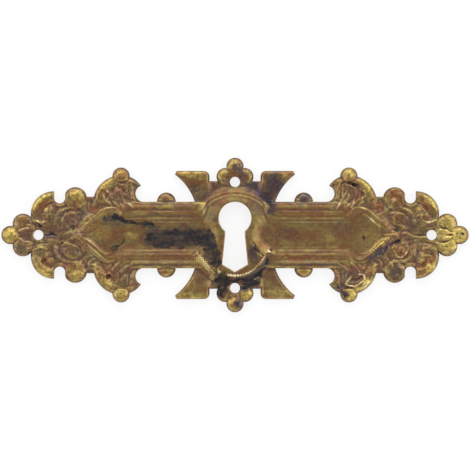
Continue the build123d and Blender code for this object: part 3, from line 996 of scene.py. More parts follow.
@dataclass
class Palmette:
    """The fluted shell that runs from the end pin to the tip bead and carries the two end lobes."""

    centre: float = 46.0
    reach: Point = (3.4, 3.9)
    root: Point = (42.8, 44.6)
    right_swell: float = 0.62
    left_swell: float = 0.34
    merge: float = 0.4
    nick: Dome = Dome((49.9, 0.0), 0.4, -0.12, UPPER_RIGHT, 1.2)

    def press(self, relief: Relief) -> None:
        """Swells the shells, then presses their flutes and ribs and the nick in the right tip bead.

        Args:
            relief: The map that it is pressed into.
        """
        swell = np.where(relief.x > 0.0, self.right_swell, self.left_swell)
        offset = np.hypot((relief.u - self.centre) / self.reach[0], relief.y / self.reach[1])
        relief.shell(offset, swell, self.merge, ease(relief.u, *self.root))
        relief.press(*self.flutes(), self.nick)

    def flutes(self) -> list[Stroke]:
        """The petals and flutes of the right shell, and the ribs and veins of the left one.

        Returns:
            The strokes, in the order of pressing.
        """
        petal = ((44.4, 0.55), (46.0, 0.8), (47.7, 0.3))
        flute = ((44.4, 1.4), (45.6, 1.6), (46.6, 1.4), (47.6, 0.75))
        outer = ((44.0, 2.1), (45.2, 2.5), (46.4, 2.6))
        slit = ((46.2, 0.0), (47.0, 0.0), (47.8, 0.0))
        rib = ((44.7, 1.5), (46.2, 1.4), (47.9, 0.5))
        vein = ((44.6, 0.6), (46.0, 0.65), (47.4, 0.3))
        return [
            Stroke(petal, (0.4, 0.6, 0.3), (0.1, 0.2, 0.15), RIGHT),
            fold(flute, 0.36, -0.4, RIGHT),
            fold(outer, 0.5, -0.14, RIGHT),
            fold(slit, 0.26, -0.24, RIGHT),
            fold(rib, 0.28, 0.36, LEFT),
            fold(vein, 0.24, -0.2, LEFT),
            fold(outer, 0.4, -0.22, LEFT),
        ]


class Blank:
    """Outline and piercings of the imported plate, as closed loops in millimetres."""

    probe: float = 0.04
    headroom: float = 1.0
    underside_tilt: float = -0.5
    wall_tilt: float = 0.01
    least_area: float = 1e-12
    decimals: int = 3

    def __init__(self, node: bpy.types.Object) -> None:
        """Reads the loops along which the node's open upright walls meet its underside.

        Args:
            node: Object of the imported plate.
        """
        mesh = node.data
        mesh.calc_loop_triangles()
        places = np.array([v.co for v in mesh.vertices]) / MM
        faces = [tuple(t.vertices) for t in mesh.loop_triangles]
        tree = BVHTree.FromPolygons([Vector(p) for p in places], faces)
        top = float(places[:, 2].max()) + self.headroom
        walls: set[tuple] = set()
        undersides: set[tuple] = set()
        for face in faces:
            corners = places[list(face)]
            normal = np.cross(corners[1] - corners[0], corners[2] - corners[0])
            normal /= max(float(np.linalg.norm(normal)), self.least_area)
            keys = [tuple(round(float(c), self.decimals) for c in corner) for corner in corners]
            sides = {(min(a, b), max(a, b)) for a, b in zip(keys, keys[1:] + keys[:1])}
            if normal[2] < self.underside_tilt:
                undersides |= sides
            elif abs(normal[2]) < self.wall_tilt:
                x, y, _ = corners.mean(axis=0) + normal * self.probe
                if tree.ray_cast(Vector((x, y, top)), Vector((0.0, 0.0, -1.0)))[0] is None:
                    walls |= sides
        self.loops = self.chain({(a[:2], b[:2]) for a, b in walls & undersides})

    @staticmethod
    def chain(segments: set[tuple[Point, Point]]) -> list[np.ndarray]:
        """Joins segments into closed loops, the longest first, with the sheet to the left of each.

        Args:
            segments: Pairs of points.

        Returns:
            Points of each loop, in order.
        """
        neighbours: dict[Point, list[Point]] = {}
        for a, b in sorted(segments):
            neighbours.setdefault(a, []).append(b)
            neighbours.setdefault(b, []).append(a)
        loops = []
        waiting = set(neighbours)
        while waiting:
            step = min(waiting)
            loop = []
            while step is not None:
                loop.append(step)
                waiting.discard(step)
                step = next((n for n in neighbours[step] if n in waiting), None)
            loops.append(np.array(loop))
        loops.sort(key=len, reverse=True)
        for number, loop in enumerate(loops):
            x, y = loop.T
            area = float(np.sum(x * np.roll(y, -1) - np.roll(x, -1) * y))
            if (area > 0.0) != (number == 0):
                loops[number] = loop[::-1]
        return loops

    def refined(self, spacing: float) -> list[np.ndarray]:
        """The loops with their long sides divided.

        Args:
            spacing: Longest side that is left.

        Returns:
            The divided loops.
        """
        result = []
        for loop in self.loops:
            points = []
            for a, b in zip(loop, np.roll(loop, -1, axis=0)):
                steps = max(1, math.ceil(float(np.hypot(*(b - a))) / spacing))
                points.append(a + (b - a) * np.linspace(0.0, 1.0, steps, endpoint=False)[:, None])
            result.append(np.vstack(points))
        return result


@dataclass(frozen=True)
class Noise:
    """A cloudy noise: its waves in a millimetre, its octaves and how rough they are."""

    scale: float
    detail: float
    rough: float = 0.55


@dataclass(frozen=True)
class Ramp:
    """A smooth change from start to end as a value goes from low to high."""

    low: float
    high: float
    start: float = 0.0
    end: float = 1.0


class Graph:
    """Adds and joins the nodes of one material."""

    # Places of a mixing node's sockets: share, first and second input for values, the same for colours
    value_inputs: tuple[int, ...] = (0, 2, 3)
    colour_inputs: tuple[int, ...] = (0, 6, 7)
    colour_output: int = 2

    def __init__(self, name: str) -> None:
        """Starts an empty material.

        Args:
            name: Name of the material.
        """
        self.material = bpy.data.materials.new(name)
        self.material.use_nodes = True
        self.tree = self.material.node_tree
        self.tree.nodes.clear()

    def add(self, kind: str, settings: dict | None = None, **inputs: object) -> bpy.types.Node:
        """Adds a node.

        Args:
            kind: Blender's name for the node.
            settings: Values of the node's own properties.
            inputs: Sockets to join or values to set, by input name with _ for a space.

        Returns:
            The node.
        """
        node = self.tree.nodes.new(kind)
        for name, value in (settings or {}).items():
            setattr(node, name, value)
        for name, value in inputs.items():
            self.put(node.inputs[name.replace("_", " ")], value)
        return node

    def put(self, socket: Socket, value: object) -> None:
        """Joins a socket to an input, or sets the input to a value.

        Args:
            socket: The input.
            value: What it is joined or set to.
        """
        if isinstance(value, Socket):
            self.tree.links.new(value, socket)
        else:
            socket.default_value = value

    def attribute(self, name: str) -> Socket:
        """A value stored at the mesh's points."""
        return self.add("ShaderNodeAttribute", {"attribute_name": name}).outputs["Fac"]

    def scaled(self, vector: Socket, sizes: tuple[float, float, float]) -> Socket:
        """A vector multiplied by a size for each of its axes.

        Args:
            vector: The vector.
            sizes: A size for each axis.

        Returns:
            The new vector.
        """
        node = self.add("ShaderNodeVectorMath", {"operation": "MULTIPLY"})
        self.put(node.inputs[0], vector)
        self.put(node.inputs[1], sizes)
        return node.outputs[0]

    def noise(self, vector: Socket, kind: Noise) -> Socket:
        """A cloudy noise from 0 to 1."""
        settings = {"Scale": kind.scale, "Detail": kind.detail, "Roughness": kind.rough}
        return self.add("ShaderNodeTexNoise", Vector=vector, **settings).outputs["Fac"]

    def between(self, value: Socket, ramp: Ramp) -> Socket:
        """Follows a ramp as a value changes.

        Args:
            value: The value.
            ramp: The ramp.

        Returns:
            The ramp's height there.
        """
        sides = {"From_Min": ramp.low, "From_Max": ramp.high, "To_Min": ramp.start, "To_Max": ramp.end}
        node = self.add("ShaderNodeMapRange", {"interpolation_type": "SMOOTHSTEP"}, Value=value, **sides)
        return node.outputs["Result"]

    def math(self, operation: str, first: object, second: object) -> Socket:
        """Combines two values.

        Args:
            operation: Blender's name for what is done.
            first: The first value.
            second: The second value.

        Returns:
            The result, held between 0 and 1 unless it is a difference.
        """
        node = self.add("ShaderNodeMath", {"operation": operation, "use_clamp": operation != "SUBTRACT"})
        self.put(node.inputs[0], first)
        self.put(node.inputs[1], second)
        return node.outputs[0]

    def times(self, first: object, second: object) -> Socket:
        """The product of two values."""
        return self.math("MULTIPLY", first, second)

    def patchy(self, name: str, value: Socket, ramp: Ramp) -> Socket:
        """A value stored at the mesh's points, thinned by a ramp of another value."""
        return self.times(self.attribute(name), self.between(value, ramp))

    def mix(self, share: object, first: object, second: object) -> Socket:
        """Mixes two values by a share of the second.

        Args:
            share: Share of the second.
            first: The first.
            second: The second.

        Returns:
            The mixed value.
        """
        node = self.add("ShaderNodeMix")
        for number, value in zip(self.value_inputs, (share, first, second)):
            self.put(node.inputs[number], value)
        return node.outputs[0]

    def blend(self, share: object, first: object, second: object) -> Socket:
        """Mixes two colours by a share of the second.

        Args:
            share: Share of the second.
            first: The first.
            second: The second.

        Returns:
            The mixed colour.
        """
        node = self.add("ShaderNodeMix", {"data_type": "RGBA"})
        for number, value in zip(self.colour_inputs, (share, first, second)):
            self.put(node.inputs[number], (*value, 1.0) if isinstance(value, tuple) else value)
        return node.outputs[self.colour_output]


@dataclass(frozen=True)
class Clouds:
    """The noises that break up the colours of a finish, from the broadest to the finest."""

    broad: Socket
    patch: Socket
    mottle: Socket
    speck: Socket
    grain: Socket


@dataclass(frozen=True)
class AgedBrass:
    """Finish of the plate: old brass under brown lacquer, rubbed bright on crests, with painted shade mixed
    with dirt in recesses and low parts and painted highlights on ridges and rims.
    """

    # The grime tint darkens grooves and recesses as painted shade along with dirt; plum is also painted
    # shade where the surface lies low; gilt and pale are also painted highlights on ridges and rims
    olive: Colour = (0.3, 0.22, 0.082)
    brown: Colour = (0.25, 0.142, 0.062)
    ruddy: Colour = (0.25, 0.098, 0.048)
    plum: Colour = (0.1, 0.07, 0.08)
    gilt: Colour = (0.74, 0.565, 0.145)
    pale: Colour = (0.9, 0.75, 0.46)
    grime_and_shade: Colour = (0.1, 0.052, 0.04)
    tarnish: Colour = (0.014, 0.0125, 0.016)

    # The noises, and how far the streaks of the smooth parts are drawn out along the plate
    broad: Noise = Noise(0.35, 4.0)
    streaks: Noise = Noise(0.7, 5.0, 0.62)
    patches: Noise = Noise(0.8, 5.0, 0.6)
    mottle: Noise = Noise(1.7, 6.0, 0.65)
    speck: Noise = Noise(2.3, 3.0, 0.6)
    grain: Noise = Noise(7.0, 4.0, 0.6)
    drawn: tuple[float, float, float] = (0.4, 1.0, 1.0)

    # How strongly each tint shows as the noise or the wear under it changes; the low, recess and groove
    # covers lay painted shade, and the ridge covers lay painted highlights
    brown_cover: Ramp = Ramp(0.4, 0.6)
    ruddy_cover: Ramp = Ramp(0.47, 0.64, 0.0, 0.62)
    cloud_cover: Ramp = Ramp(0.5, 0.68, 0.0, 0.65)
    fleck_cover: Ramp = Ramp(0.52, 0.72, 0.0, 0.6)
    smooth_cover: Ramp = Ramp(0.0, 1.0, 0.5, 1.0)
    gilt_cover: Ramp = Ramp(0.58, 0.36, 0.35, 1.0)
    # Plum where the surface lies low: painted shade
    low_cover: Ramp = Ramp(0.35, 0.6, 0.1, 0.5)
    # Grime in recesses and grooves: painted shade together with dirt
    recess_cover: Ramp = Ramp(0.3, 0.6, 0.45, 1.0)
    groove_cover: Ramp = Ramp(0.3, 0.6, 0.45, 0.95)
    crest_cover: Ramp = Ramp(0.35, 0.65, 0.05, 0.35)
    # Gilt and pale on fine ridges: painted highlights
    ridge_cover: Ramp = Ramp(0.62, 0.36, 0.05, 0.42)
    # Thins the ruddy stains and the plum spots, which include painted shade
    stain_and_shade_cover: Ramp = Ramp(0.3, 0.56, 0.5, 1.0)
    pale_cover: Ramp = Ramp(0.36, 0.6, 0.3, 1.0)
    pale_on_ridge: Ramp = Ramp(0.05, 0.65, 0.18, 1.0)
    glint_cover: Ramp = Ramp(0.46, 0.26, 0.0, 0.2)

    # The tarnish: how ragged its edge is, and where it wears thin
    ragged: float = 1.15
    tarnish_edge: Ramp = Ramp(0.34, 0.68)
    tarnish_speck: Ramp = Ramp(0.52, 0.68, 1.0, 0.52)
    tarnish_patch: Ramp = Ramp(0.36, 0.58, 0.66, 1.0)

    # The surface under the colours
    metal: Ramp = Ramp(0.0, 1.0, 1.0, 0.55)
    roughness: Ramp = Ramp(0.1, 1.2, 0.4, 0.68)
    rough_mottle: float = 0.35
    # Roughness added where the hollows are darkened as painted shade with dirt
    dirt_and_shade_dullness: float = 0.7
    bump_grain: float = 0.6
    bump_mottle: float = 0.4
    bump_strength: float = 0.55
    bump_depth: float = 0.05

    # The edge of a spot, as shares of its reach, and the spots by tint: stains, painted shade and painted
    # highlights
    spot_edge: Point = (0.35, 1.25)
    dark_stains: tuple[ColourSpot, ...] = (
        ColourSpot((-11.2, -0.7), (8.4, 2.4), 1.05),
        ColourSpot((-5.6, -1.0), (1.9, 2.2)),
        ColourSpot((-16.0, -1.9), (3.6, 1.1)),
        ColourSpot((-24.2, 3.3), (3.2, 0.55), 1.5, -11.0),
        ColourSpot((-20.2, 2.6), (3.4, 0.36), 1.4, -9.0),
        ColourSpot((-18.3, -1.0), (1.9, 1.9), 0.85),
        ColourSpot((-18.4, 1.9), (2.6, 0.55), 0.75),
        ColourSpot((-26.4, -3.2), (1.3, 0.42), 1.3, 10.0),
        ColourSpot((-24.7, -1.6), (0.38, 1.0), 1.2, -24.0),
        ColourSpot((-25.4, -2.6), (0.8, 0.28), 0.9, 42.0),
        ColourSpot((-27.4, 4.4), (1.0, 0.5), 0.45),
        ColourSpot((-4.4, -4.4), (1.1, 3.9), 1.05, 12.0),
        ColourSpot((-2.7, -10.6), (1.9, 3.2), 1.05),
        ColourSpot((-3.0, -12.6), (1.5, 1.5), 0.85),
        ColourSpot((24.0, -12.9), (0.7, 1.2), 0.75),
        ColourSpot((22.6, -11.4), (1.2, 0.7), 0.6),
        ColourSpot((7.4, 9.2), (1.5, 1.3), 0.55),
        ColourSpot((0.0, -9.95), (4.4, 0.7), 0.7),
        ColourSpot((3.6, -10.7), (2.8, 1.1), 0.95, 14.0),
        ColourSpot((1.9, -11.5), (1.5, 0.6), 1.0),
        ColourSpot((-5.0, -4.8), (1.5, 3.4), 1.1, 26.0),
        ColourSpot((4.9, -3.1), (2.0, 0.3), 1.2, -57.0),
        ColourSpot((5.4, -8.6), (2.8, 0.5), 0.7, 42.0),
        ColourSpot((7.1, -5.7), (1.7, 0.5), 0.75, 65.0),
        ColourSpot((2.4, -9.6), (2.2, 0.4), 0.6, 12.0),
        ColourSpot((0.6, -15.1), (1.0, 0.9), 0.5),
        ColourSpot((4.0, -3.6), (0.9, 1.8), 0.5, 10.0),
        ColourSpot((49.8, 0.1), (0.75, 0.6), 1.2),
        ColourSpot((26.1, 11.0), (1.0, 0.5), 0.9, -20.0),
        ColourSpot((-24.2, 9.9), (0.5, 0.4), 0.7),
        ColourSpot((35.2, -9.5), (1.6, 0.8), 0.5),
        ColourSpot((-40.2, 0.1), (1.7, 0.4), 0.75),
        ColourSpot((35.8, -1.6), (0.9, 0.6), 0.8),
        ColourSpot((34.9, -1.5), (1.1, 0.8), 0.6, 24.0),
        ColourSpot((28.4, -0.6), (0.28, 1.0), 1.0, 10.0),
        ColourSpot((28.6, 0.5), (0.5, 0.22), 0.7),
        ColourSpot((-28.4, 3.9), (0.3, 0.9), 0.75, 8.0),
        ColourSpot((-29.4, 3.2), (0.25, 0.8), 0.6, 8.0),
        ColourSpot((35.5, 1.3), (0.9, 0.6), 0.7),
        ColourSpot((-42.7, 1.8), (0.8, 0.5), 0.7),
        ColourSpot((-41.8, -5.4), (1.0, 0.8), 0.4),
        ColourSpot((-27.8, -9.1), (0.6, 0.5), 0.4),
        ColourSpot((-37.9, -1.8), (0.5, 0.4), 0.7),
        ColourSpot((-34.5, -3.4), (0.8, 0.7), 0.5),
        ColourSpot((6.9, 7.4), (3.0, 0.75), 0.6, -50.0),
        ColourSpot((28.3, -1.3), (0.25, 1.7), 0.55, 8.0),
    )
    # Plum spots: stains, and painted shade under the spear's rope, along the bar's grooves and channel edges
    # and round the keyhole boss
    plum_stains_and_shade: tuple[ColourSpot, ...] = (
        ColourSpot((8.6, 11.2), (2.8, 3.0), 1.15),
        ColourSpot((6.6, 8.3), (4.2, 1.3), 1.4, -46.0),
        ColourSpot((-6.2, 8.9), (3.4, 0.7), 0.6, 40.0),
        ColourSpot((-5.1, 3.9), (1.7, 1.2), 0.6),
        ColourSpot((4.9, 6.0), (2.8, 1.6), 0.55, -50.0),
        ColourSpot((-4.9, 6.2), (2.4, 1.5), 0.25, 50.0),
        ColourSpot((8.0, 5.8), (1.3, 1.6), 1.2),
        ColourSpot((5.2, -8.9), (3.4, 0.6), 0.85, 38.0),
        ColourSpot((-4.4, -8.6), (2.2, 0.6), 0.7, -40.0),
        ColourSpot((22.9, -11.6), (1.8, 1.3), 0.95),
        ColourSpot((24.1, -13.1), (0.8, 1.4), 0.85),
        ColourSpot((35.1, -8.0), (1.9, 1.5), 0.8),
        ColourSpot((-35.0, -3.7), (1.3, 1.1), 0.8),
        ColourSpot((32.0, -3.5), (3.6, 0.9), 1.8, 39.0),
        ColourSpot((34.6, -1.6), (1.4, 0.7), 0.9, 20.0),
        ColourSpot((-40.3, 0.0), (2.3, 0.85), 1.0),
        ColourSpot((4.3, -8.7), (2.7, 0.7), 1.4, 32.0),
        ColourSpot((7.2, -5.9), (1.8, 0.7), 1.2, 65.0),
        ColourSpot((1.6, -9.8), (3.0, 0.6), 1.1, 8.0),
        ColourSpot((3.9, -4.0), (1.0, 2.4), 0.85, 8.0),
        ColourSpot((3.4, -11.0), (2.6, 1.6), 0.9),
        ColourSpot((-8.6, 9.8), (2.2, 1.7), 0.6),
        ColourSpot((39.6, -4.6), (1.4, 1.6), 0.6),
        ColourSpot((-30.7, 7.2), (1.1, 1.2), 0.5),
        ColourSpot((-17.4, 0.6), (2.9, 1.6), 0.8),
        ColourSpot((-12.6, -0.5), (8.8, 2.9), 0.7),
        ColourSpot((-33.8, 5.6), (0.9, 0.9), 0.7),
        ColourSpot((-21.9, 11.3), (1.2, 0.9), 0.5),
        ColourSpot((16.0, 6.95), (9.5, 0.55), 0.75),
        ColourSpot((-16.0, 6.9), (9.5, 0.6), 0.6),
        ColourSpot((3.4, 10.5), (2.8, 0.8), 1.2, -22.0),
        ColourSpot((-27.6, 3.6), (2.2, 0.8), 0.95, -4.0),
        ColourSpot((-26.2, 2.4), (1.9, 0.9), 0.6),
        ColourSpot((11.5, 0.2), (3.6, 1.5), 0.35),
        ColourSpot((23.0, 1.4), (3.0, 1.4), 0.35),
        ColourSpot((-29.6, -1.2), (2.4, 1.0), 0.3, -30.0),
        ColourSpot((1.4, 13.4), (1.5, 1.6), 0.7),
        ColourSpot((0.6, 14.8), (1.4, 1.2), 0.85),
        ColourSpot((-1.6, 12.2), (1.2, 0.9), 0.6),
        ColourSpot((2.6, -12.0), (1.7, 0.8), 1.0),
        ColourSpot((-16.0, 4.2), (8.0, 0.35), 0.5),
        ColourSpot((16.0, -6.7), (8.0, 0.4), 0.7),
        ColourSpot((-16.0, -6.7), (8.0, 0.4), 0.6),
        ColourSpot((0.8, -15.0), (1.3, 1.4), 1.3),
        ColourSpot((3.6, -9.5), (3.2, 0.5), 0.9, 24.0),
        ColourSpot((6.2, -7.0), (2.0, 0.75), 1.4, 54.0),
        ColourSpot((15.1, 8.0), (1.7, 1.5), 1.2),
        ColourSpot((-15.1, 8.0), (1.2, 1.0), 0.5),
        ColourSpot((25.6, 9.2), (3.0, 2.4), 0.4),
        ColourSpot((-25.4, 8.6), (3.2, 2.4), 0.4),
        ColourSpot((25.2, -8.4), (3.4, 2.0), 0.5),
        ColourSpot((-24.6, -8.6), (3.2, 2.6), 0.45),
        ColourSpot((-38.2, 4.2), (2.6, 2.4), 0.4),
        ColourSpot((38.4, 3.0), (2.4, 2.0), 0.4),
        ColourSpot((-38.6, -4.0), (2.6, 2.2), 0.5),
        ColourSpot((-46.9, -2.8), (1.9, 1.5), 0.6),
        ColourSpot((-45.8, 0.0), (1.7, 1.4), 0.6),
        ColourSpot((-34.8, 0.1), (1.5, 0.8), 0.75),
        ColourSpot((16.0, 5.4), (9.0, 0.3), 0.6),
        ColourSpot((-15.0, 5.4), (7.0, 0.3), 0.5),
        ColourSpot((16.5, -3.7), (9.0, 0.45), 0.4),
        ColourSpot((-16.5, -3.8), (9.0, 0.45), 0.35),
        ColourSpot((-36.0, 3.0), (2.3, 1.9), 0.5),
        ColourSpot((-33.6, 4.4), (1.6, 0.8), 0.5, 40.0),
        ColourSpot((45.6, 1.5), (1.4, 0.3), 0.7, -6.0),
        ColourSpot((45.6, -1.5), (1.4, 0.3), 0.7, 6.0),
        ColourSpot((47.0, 0.0), (0.9, 0.25), 0.9),
        ColourSpot((44.5, 0.0), (1.0, 2.6), 0.35),
    )
    red_stains: tuple[ColourSpot, ...] = (
        ColourSpot((-31.3, 6.0), (1.7, 1.1), 1.0, 30.0),
        ColourSpot((31.4, 6.2), (1.4, 1.2), 0.8),
        ColourSpot((14.5, -0.2), (6.2, 1.5), 0.75),
        ColourSpot((15.0, -5.0), (8.6, 0.6), 1.0),
        ColourSpot((-24.0, 1.0), (1.6, 0.8), 0.6),
        ColourSpot((-21.0, -1.2), (1.4, 1.0), 0.6),
        ColourSpot((-15.0, -4.9), (8.6, 0.4), 0.6),
        ColourSpot((16.0, 5.35), (8.8, 0.35), 1.0),
        ColourSpot((16.0, 4.4), (7.4, 0.6), 0.7),
        ColourSpot((-16.0, 5.5), (8.6, 0.3), 0.8),
        ColourSpot((-26.2, 9.0), (2.7, 1.8), 0.5),
        ColourSpot((26.9, 8.6), (1.5, 2.0), 0.8),
        ColourSpot((-26.2, -8.6), (2.7, 1.9), 0.8),
        ColourSpot((26.4, -7.3), (3.2, 1.1), 0.9),
        ColourSpot((-42.0, 6.7), (2.0, 0.7), 0.9, 42.0),
        ColourSpot((42.0, 6.6), (2.0, 0.7), 0.8, -42.0),
        ColourSpot((41.8, -6.1), (2.1, 0.9), 0.8, 42.0),
        ColourSpot((-41.6, -5.6), (1.8, 1.5), 0.6),
        ColourSpot((-46.2, -0.2), (2.0, 2.4), 0.6),
        ColourSpot((-47.0, 3.1), (1.4, 1.2), 0.6),
        ColourSpot((-25.0, 13.1), (1.2, 1.0), 0.5),
        ColourSpot((25.2, 12.5), (1.2, 0.9), 0.45),
        ColourSpot((-34.5, 7.5), (1.3, 1.1), 0.45),
        ColourSpot((35.4, 8.2), (2.2, 2.0), 0.8),
        ColourSpot((-8.6, -10.6), (1.6, 1.8), 0.35),
        ColourSpot((0.0, 12.9), (2.8, 0.8), 0.9),
        ColourSpot((-9.2, 11.5), (2.6, 1.0), 0.7, -6.0),
        ColourSpot((36.6, 3.2), (1.7, 1.5), 0.6),
        ColourSpot((36.8, -3.5), (1.7, 1.5), 0.7),
        ColourSpot((-35.6, -6.9), (1.8, 0.6), 0.7),
        ColourSpot((22.0, 1.2), (2.6, 1.2), 0.4),
    )
    # Gilt spots: rubbed brass, and painted highlights on the scroll rims, ear rims, lobes, beads and the
    # right palmette
    gilt_wear_and_highlights: tuple[ColourSpot, ...] = (
        ColourSpot((47.0, 0.0), (4.0, 4.6), 1.2),
        ColourSpot((-49.6, 0.0), (1.8, 1.8), 0.9),
        ColourSpot((-28.3, 11.0), (2.2, 0.9), 1.0, 42.0),
        ColourSpot((28.6, 10.6), (2.1, 0.8), 0.85, -42.0),
        ColourSpot((28.4, -10.9), (2.6, 0.9), 1.0, 42.0),
        ColourSpot((-28.6, -10.2), (1.7, 0.7), 0.6, -42.0),
        ColourSpot((25.7, -13.2), (1.0, 1.3), 1.0),
        ColourSpot((-25.0, -13.1), (1.6, 1.5), 0.6),
        ColourSpot((25.0, 13.4), (1.4, 1.2), 0.6),
        ColourSpot((-25.3, 13.4), (1.1, 0.9), 0.5),
        ColourSpot((-43.0, 7.3), (2.8, 0.9), 1.0, 45.0),
        ColourSpot((42.8, 7.5), (2.5, 1.0), 1.0, -45.0),
        ColourSpot((42.8, -7.4), (2.2, 0.9), 0.95, 45.0),
        ColourSpot((-42.3, -8.1), (2.1, 0.9), 0.95, -38.0),
        ColourSpot((-35.1, 8.7), (2.2, 1.8), 0.85),
        ColourSpot((-34.6, -8.0), (2.1, 1.7), 0.6),
        ColourSpot((-9.6, 13.2), (3.2, 0.7), 1.0, -8.0),
        ColourSpot((9.6, -12.8), (3.0, 1.1), 0.65),
        ColourSpot((2.5, -13.4), (1.2, 0.8), 1.0),
        ColourSpot((-0.9, -14.6), (0.9, 0.7), 0.9),
        ColourSpot((-9.8, -13.3), (3.0, 0.8), 0.8),
        ColourSpot((-9.2, -10.4), (1.3, 2.4), 0.45, -32.0),
        ColourSpot((10.4, 12.8), (1.3, 0.8), 0.8),
        ColourSpot((-7.9, 9.8), (1.1, 1.3), 0.55),
        ColourSpot((-22.7, -0.1), (1.5, 1.0), 0.8),
        ColourSpot((20.9, -0.9), (1.6, 1.2), 0.3),
        ColourSpot((-29.6, 0.2), (2.8, 2.2), 0.32),
        ColourSpot((30.2, -0.6), (2.6, 1.6), 0.3),
        ColourSpot((31.4, -1.9), (3.0, 0.4), 1.0, 37.0),
        ColourSpot((-6.7, -6.3), (2.9, 0.75), 0.45, -46.0),
        ColourSpot((-8.2, -5.5), (0.8, 0.7), 0.9),
        ColourSpot((-42.6, -1.8), (0.9, 0.5), 0.85),
        ColourSpot((2.6, 13.4), (0.9, 0.8), 0.3),
        ColourSpot((-2.6, 13.3), (0.9, 0.8), 0.35),
        ColourSpot((-0.3, 15.6), (0.9, 0.7), 0.5),
    )
    # Pale spots: worn bright places, and painted highlights on ridges, knots, the boss's rope and the leaves
    pale_wear_and_highlights: tuple[ColourSpot, ...] = (
        ColourSpot((-41.5, 5.4), (0.6, 0.5), 0.4),
        ColourSpot((-42.9, 3.0), (1.3, 0.4), 0.6, -8.0),
        ColourSpot((-27.9, 9.5), (0.5, 0.4), 0.85),
        ColourSpot((-22.9, 6.7), (1.2, 0.35), 0.35, -62.0),
        ColourSpot((-24.5, 6.6), (1.3, 0.3), 0.25, -65.0),
        ColourSpot((-27.2, 6.05), (1.4, 0.25), 0.5),
        ColourSpot((-25.3, 4.6), (0.8, 0.3), 0.7, 45.0),
        ColourSpot((30.2, 3.25), (0.9, 0.35), 0.9, -42.0),
        ColourSpot((33.1, 1.0), (0.5, 0.35), 0.8),
        ColourSpot((19.8, 2.85), (0.45, 0.25), 1.0),
        ColourSpot((16.0, 2.8), (8.5, 0.24), 0.6),
        ColourSpot((26.4, 4.7), (1.0, 0.3), 0.35, 38.0),
        ColourSpot((24.9, -10.0), (1.2, 0.22), 0.95, 55.0),
        ColourSpot((25.4, -11.2), (1.1, 0.24), 0.95, -5.0),
        ColourSpot((27.2, -10.6), (1.2, 0.24), 0.95, 36.0),
        ColourSpot((28.25, -9.3), (0.7, 0.22), 0.9, 80.0),
        ColourSpot((27.7, -8.7), (0.7, 0.2), 0.85),
        ColourSpot((27.5, -4.9), (1.0, 0.35), 0.4),
        ColourSpot((-30.9, -3.4), (3.0, 0.28), 0.5, -40.0),
        ColourSpot((-31.0, -1.95), (3.6, 0.28), 0.5, -36.0),
        ColourSpot((-25.9, -4.5), (0.7, 0.55), 0.3),
        ColourSpot((22.9, 7.1), (1.7, 0.32), 0.35, 69.0),
        ColourSpot((25.8, 6.6), (1.1, 0.3), 0.35, 80.0),
        ColourSpot((27.8, 6.2), (1.0, 0.3), 0.35, -30.0),
        ColourSpot((34.9, 7.6), (0.7, 0.6), 0.4),
        ColourSpot((43.0, 3.2), (1.5, 0.4), 0.8, 28.0),
        ColourSpot((3.4, -8.3), (3.6, 0.4), 1.8, 24.0),
        ColourSpot((37.6, -3.9), (0.3, 1.2), 0.5, -12.0),
        ColourSpot((36.3, -4.9), (1.0, 0.3), 0.5, 8.0),
        ColourSpot((6.2, -5.7), (1.6, 0.4), 1.6, 58.0),
        ColourSpot((0.0, -8.9), (2.2, 0.4), 1.5),
        ColourSpot((-3.6, -8.3), (0.4, 0.4), 1.5),
        ColourSpot((4.3, -9.7), (1.9, 0.26), 0.9, 26.0),
        ColourSpot((7.4, -3.6), (0.6, 0.5), 1.0),
        ColourSpot((37.4, -0.5), (0.5, 0.4), 0.85),
        ColourSpot((-6.6, -6.2), (2.7, 0.5), 0.6, -46.0),
        ColourSpot((28.6, -11.0), (2.0, 0.6), 0.6, 42.0),
        ColourSpot((46.9, 2.9), (1.4, 1.0), 0.35),
        ColourSpot((46.0, 0.0), (1.6, 0.9), 0.35),
        ColourSpot((49.4, 0.6), (1.2, 0.8), 0.25),
        ColourSpot((47.0, -3.3), (1.4, 1.0), 0.35),
        ColourSpot((35.8, -6.7), (0.6, 0.3), 0.8),
        ColourSpot((16.0, -5.9), (8.4, 0.2), 0.55),
        ColourSpot((-16.0, -5.9), (8.4, 0.2), 0.45),
        ColourSpot((-14.5, 2.8), (5.5, 0.24), 0.5),
        ColourSpot((-46.3, 1.35), (1.8, 0.22), 0.35, 14.0),
        ColourSpot((-46.1, -1.4), (1.8, 0.22), 0.3, -12.0),
    )

    def paint(self, spots: Iterable[ColourSpot], points: np.ndarray) -> np.ndarray:
        """How strongly a group of spots, such as stains, painted shade and painted highlights, colours each
        point.

        Args:
            spots: The spots of one tint.
            points: Places in millimetres, one row each.

        Returns:
            The strength of the strongest stain at each point, 0 where there is none.
        """
        result = np.zeros(len(points))
        for stain in spots:
            turn = math.radians(stain.turn)
            x, y = (points[:, :2] - stain.centre).T
            ahead = (x * math.cos(turn) + y * math.sin(turn)) / stain.reach[0]
            aside = (y * math.cos(turn) - x * math.sin(turn)) / stain.reach[1]
            spot = stain.strength * (1.0 - ease(np.hypot(ahead, aside), *self.spot_edge))
            result = np.maximum(result, spot)
        return result

    def material(self) -> bpy.types.Material:
        """The brass, with its colours, its dirt, painted shade in hollows and painted highlights on ridges,
        by place, by height and by noise.

        Returns:
            The material.
        """
        graph = Graph(SLOT)
        clouds = self.clouds(graph)
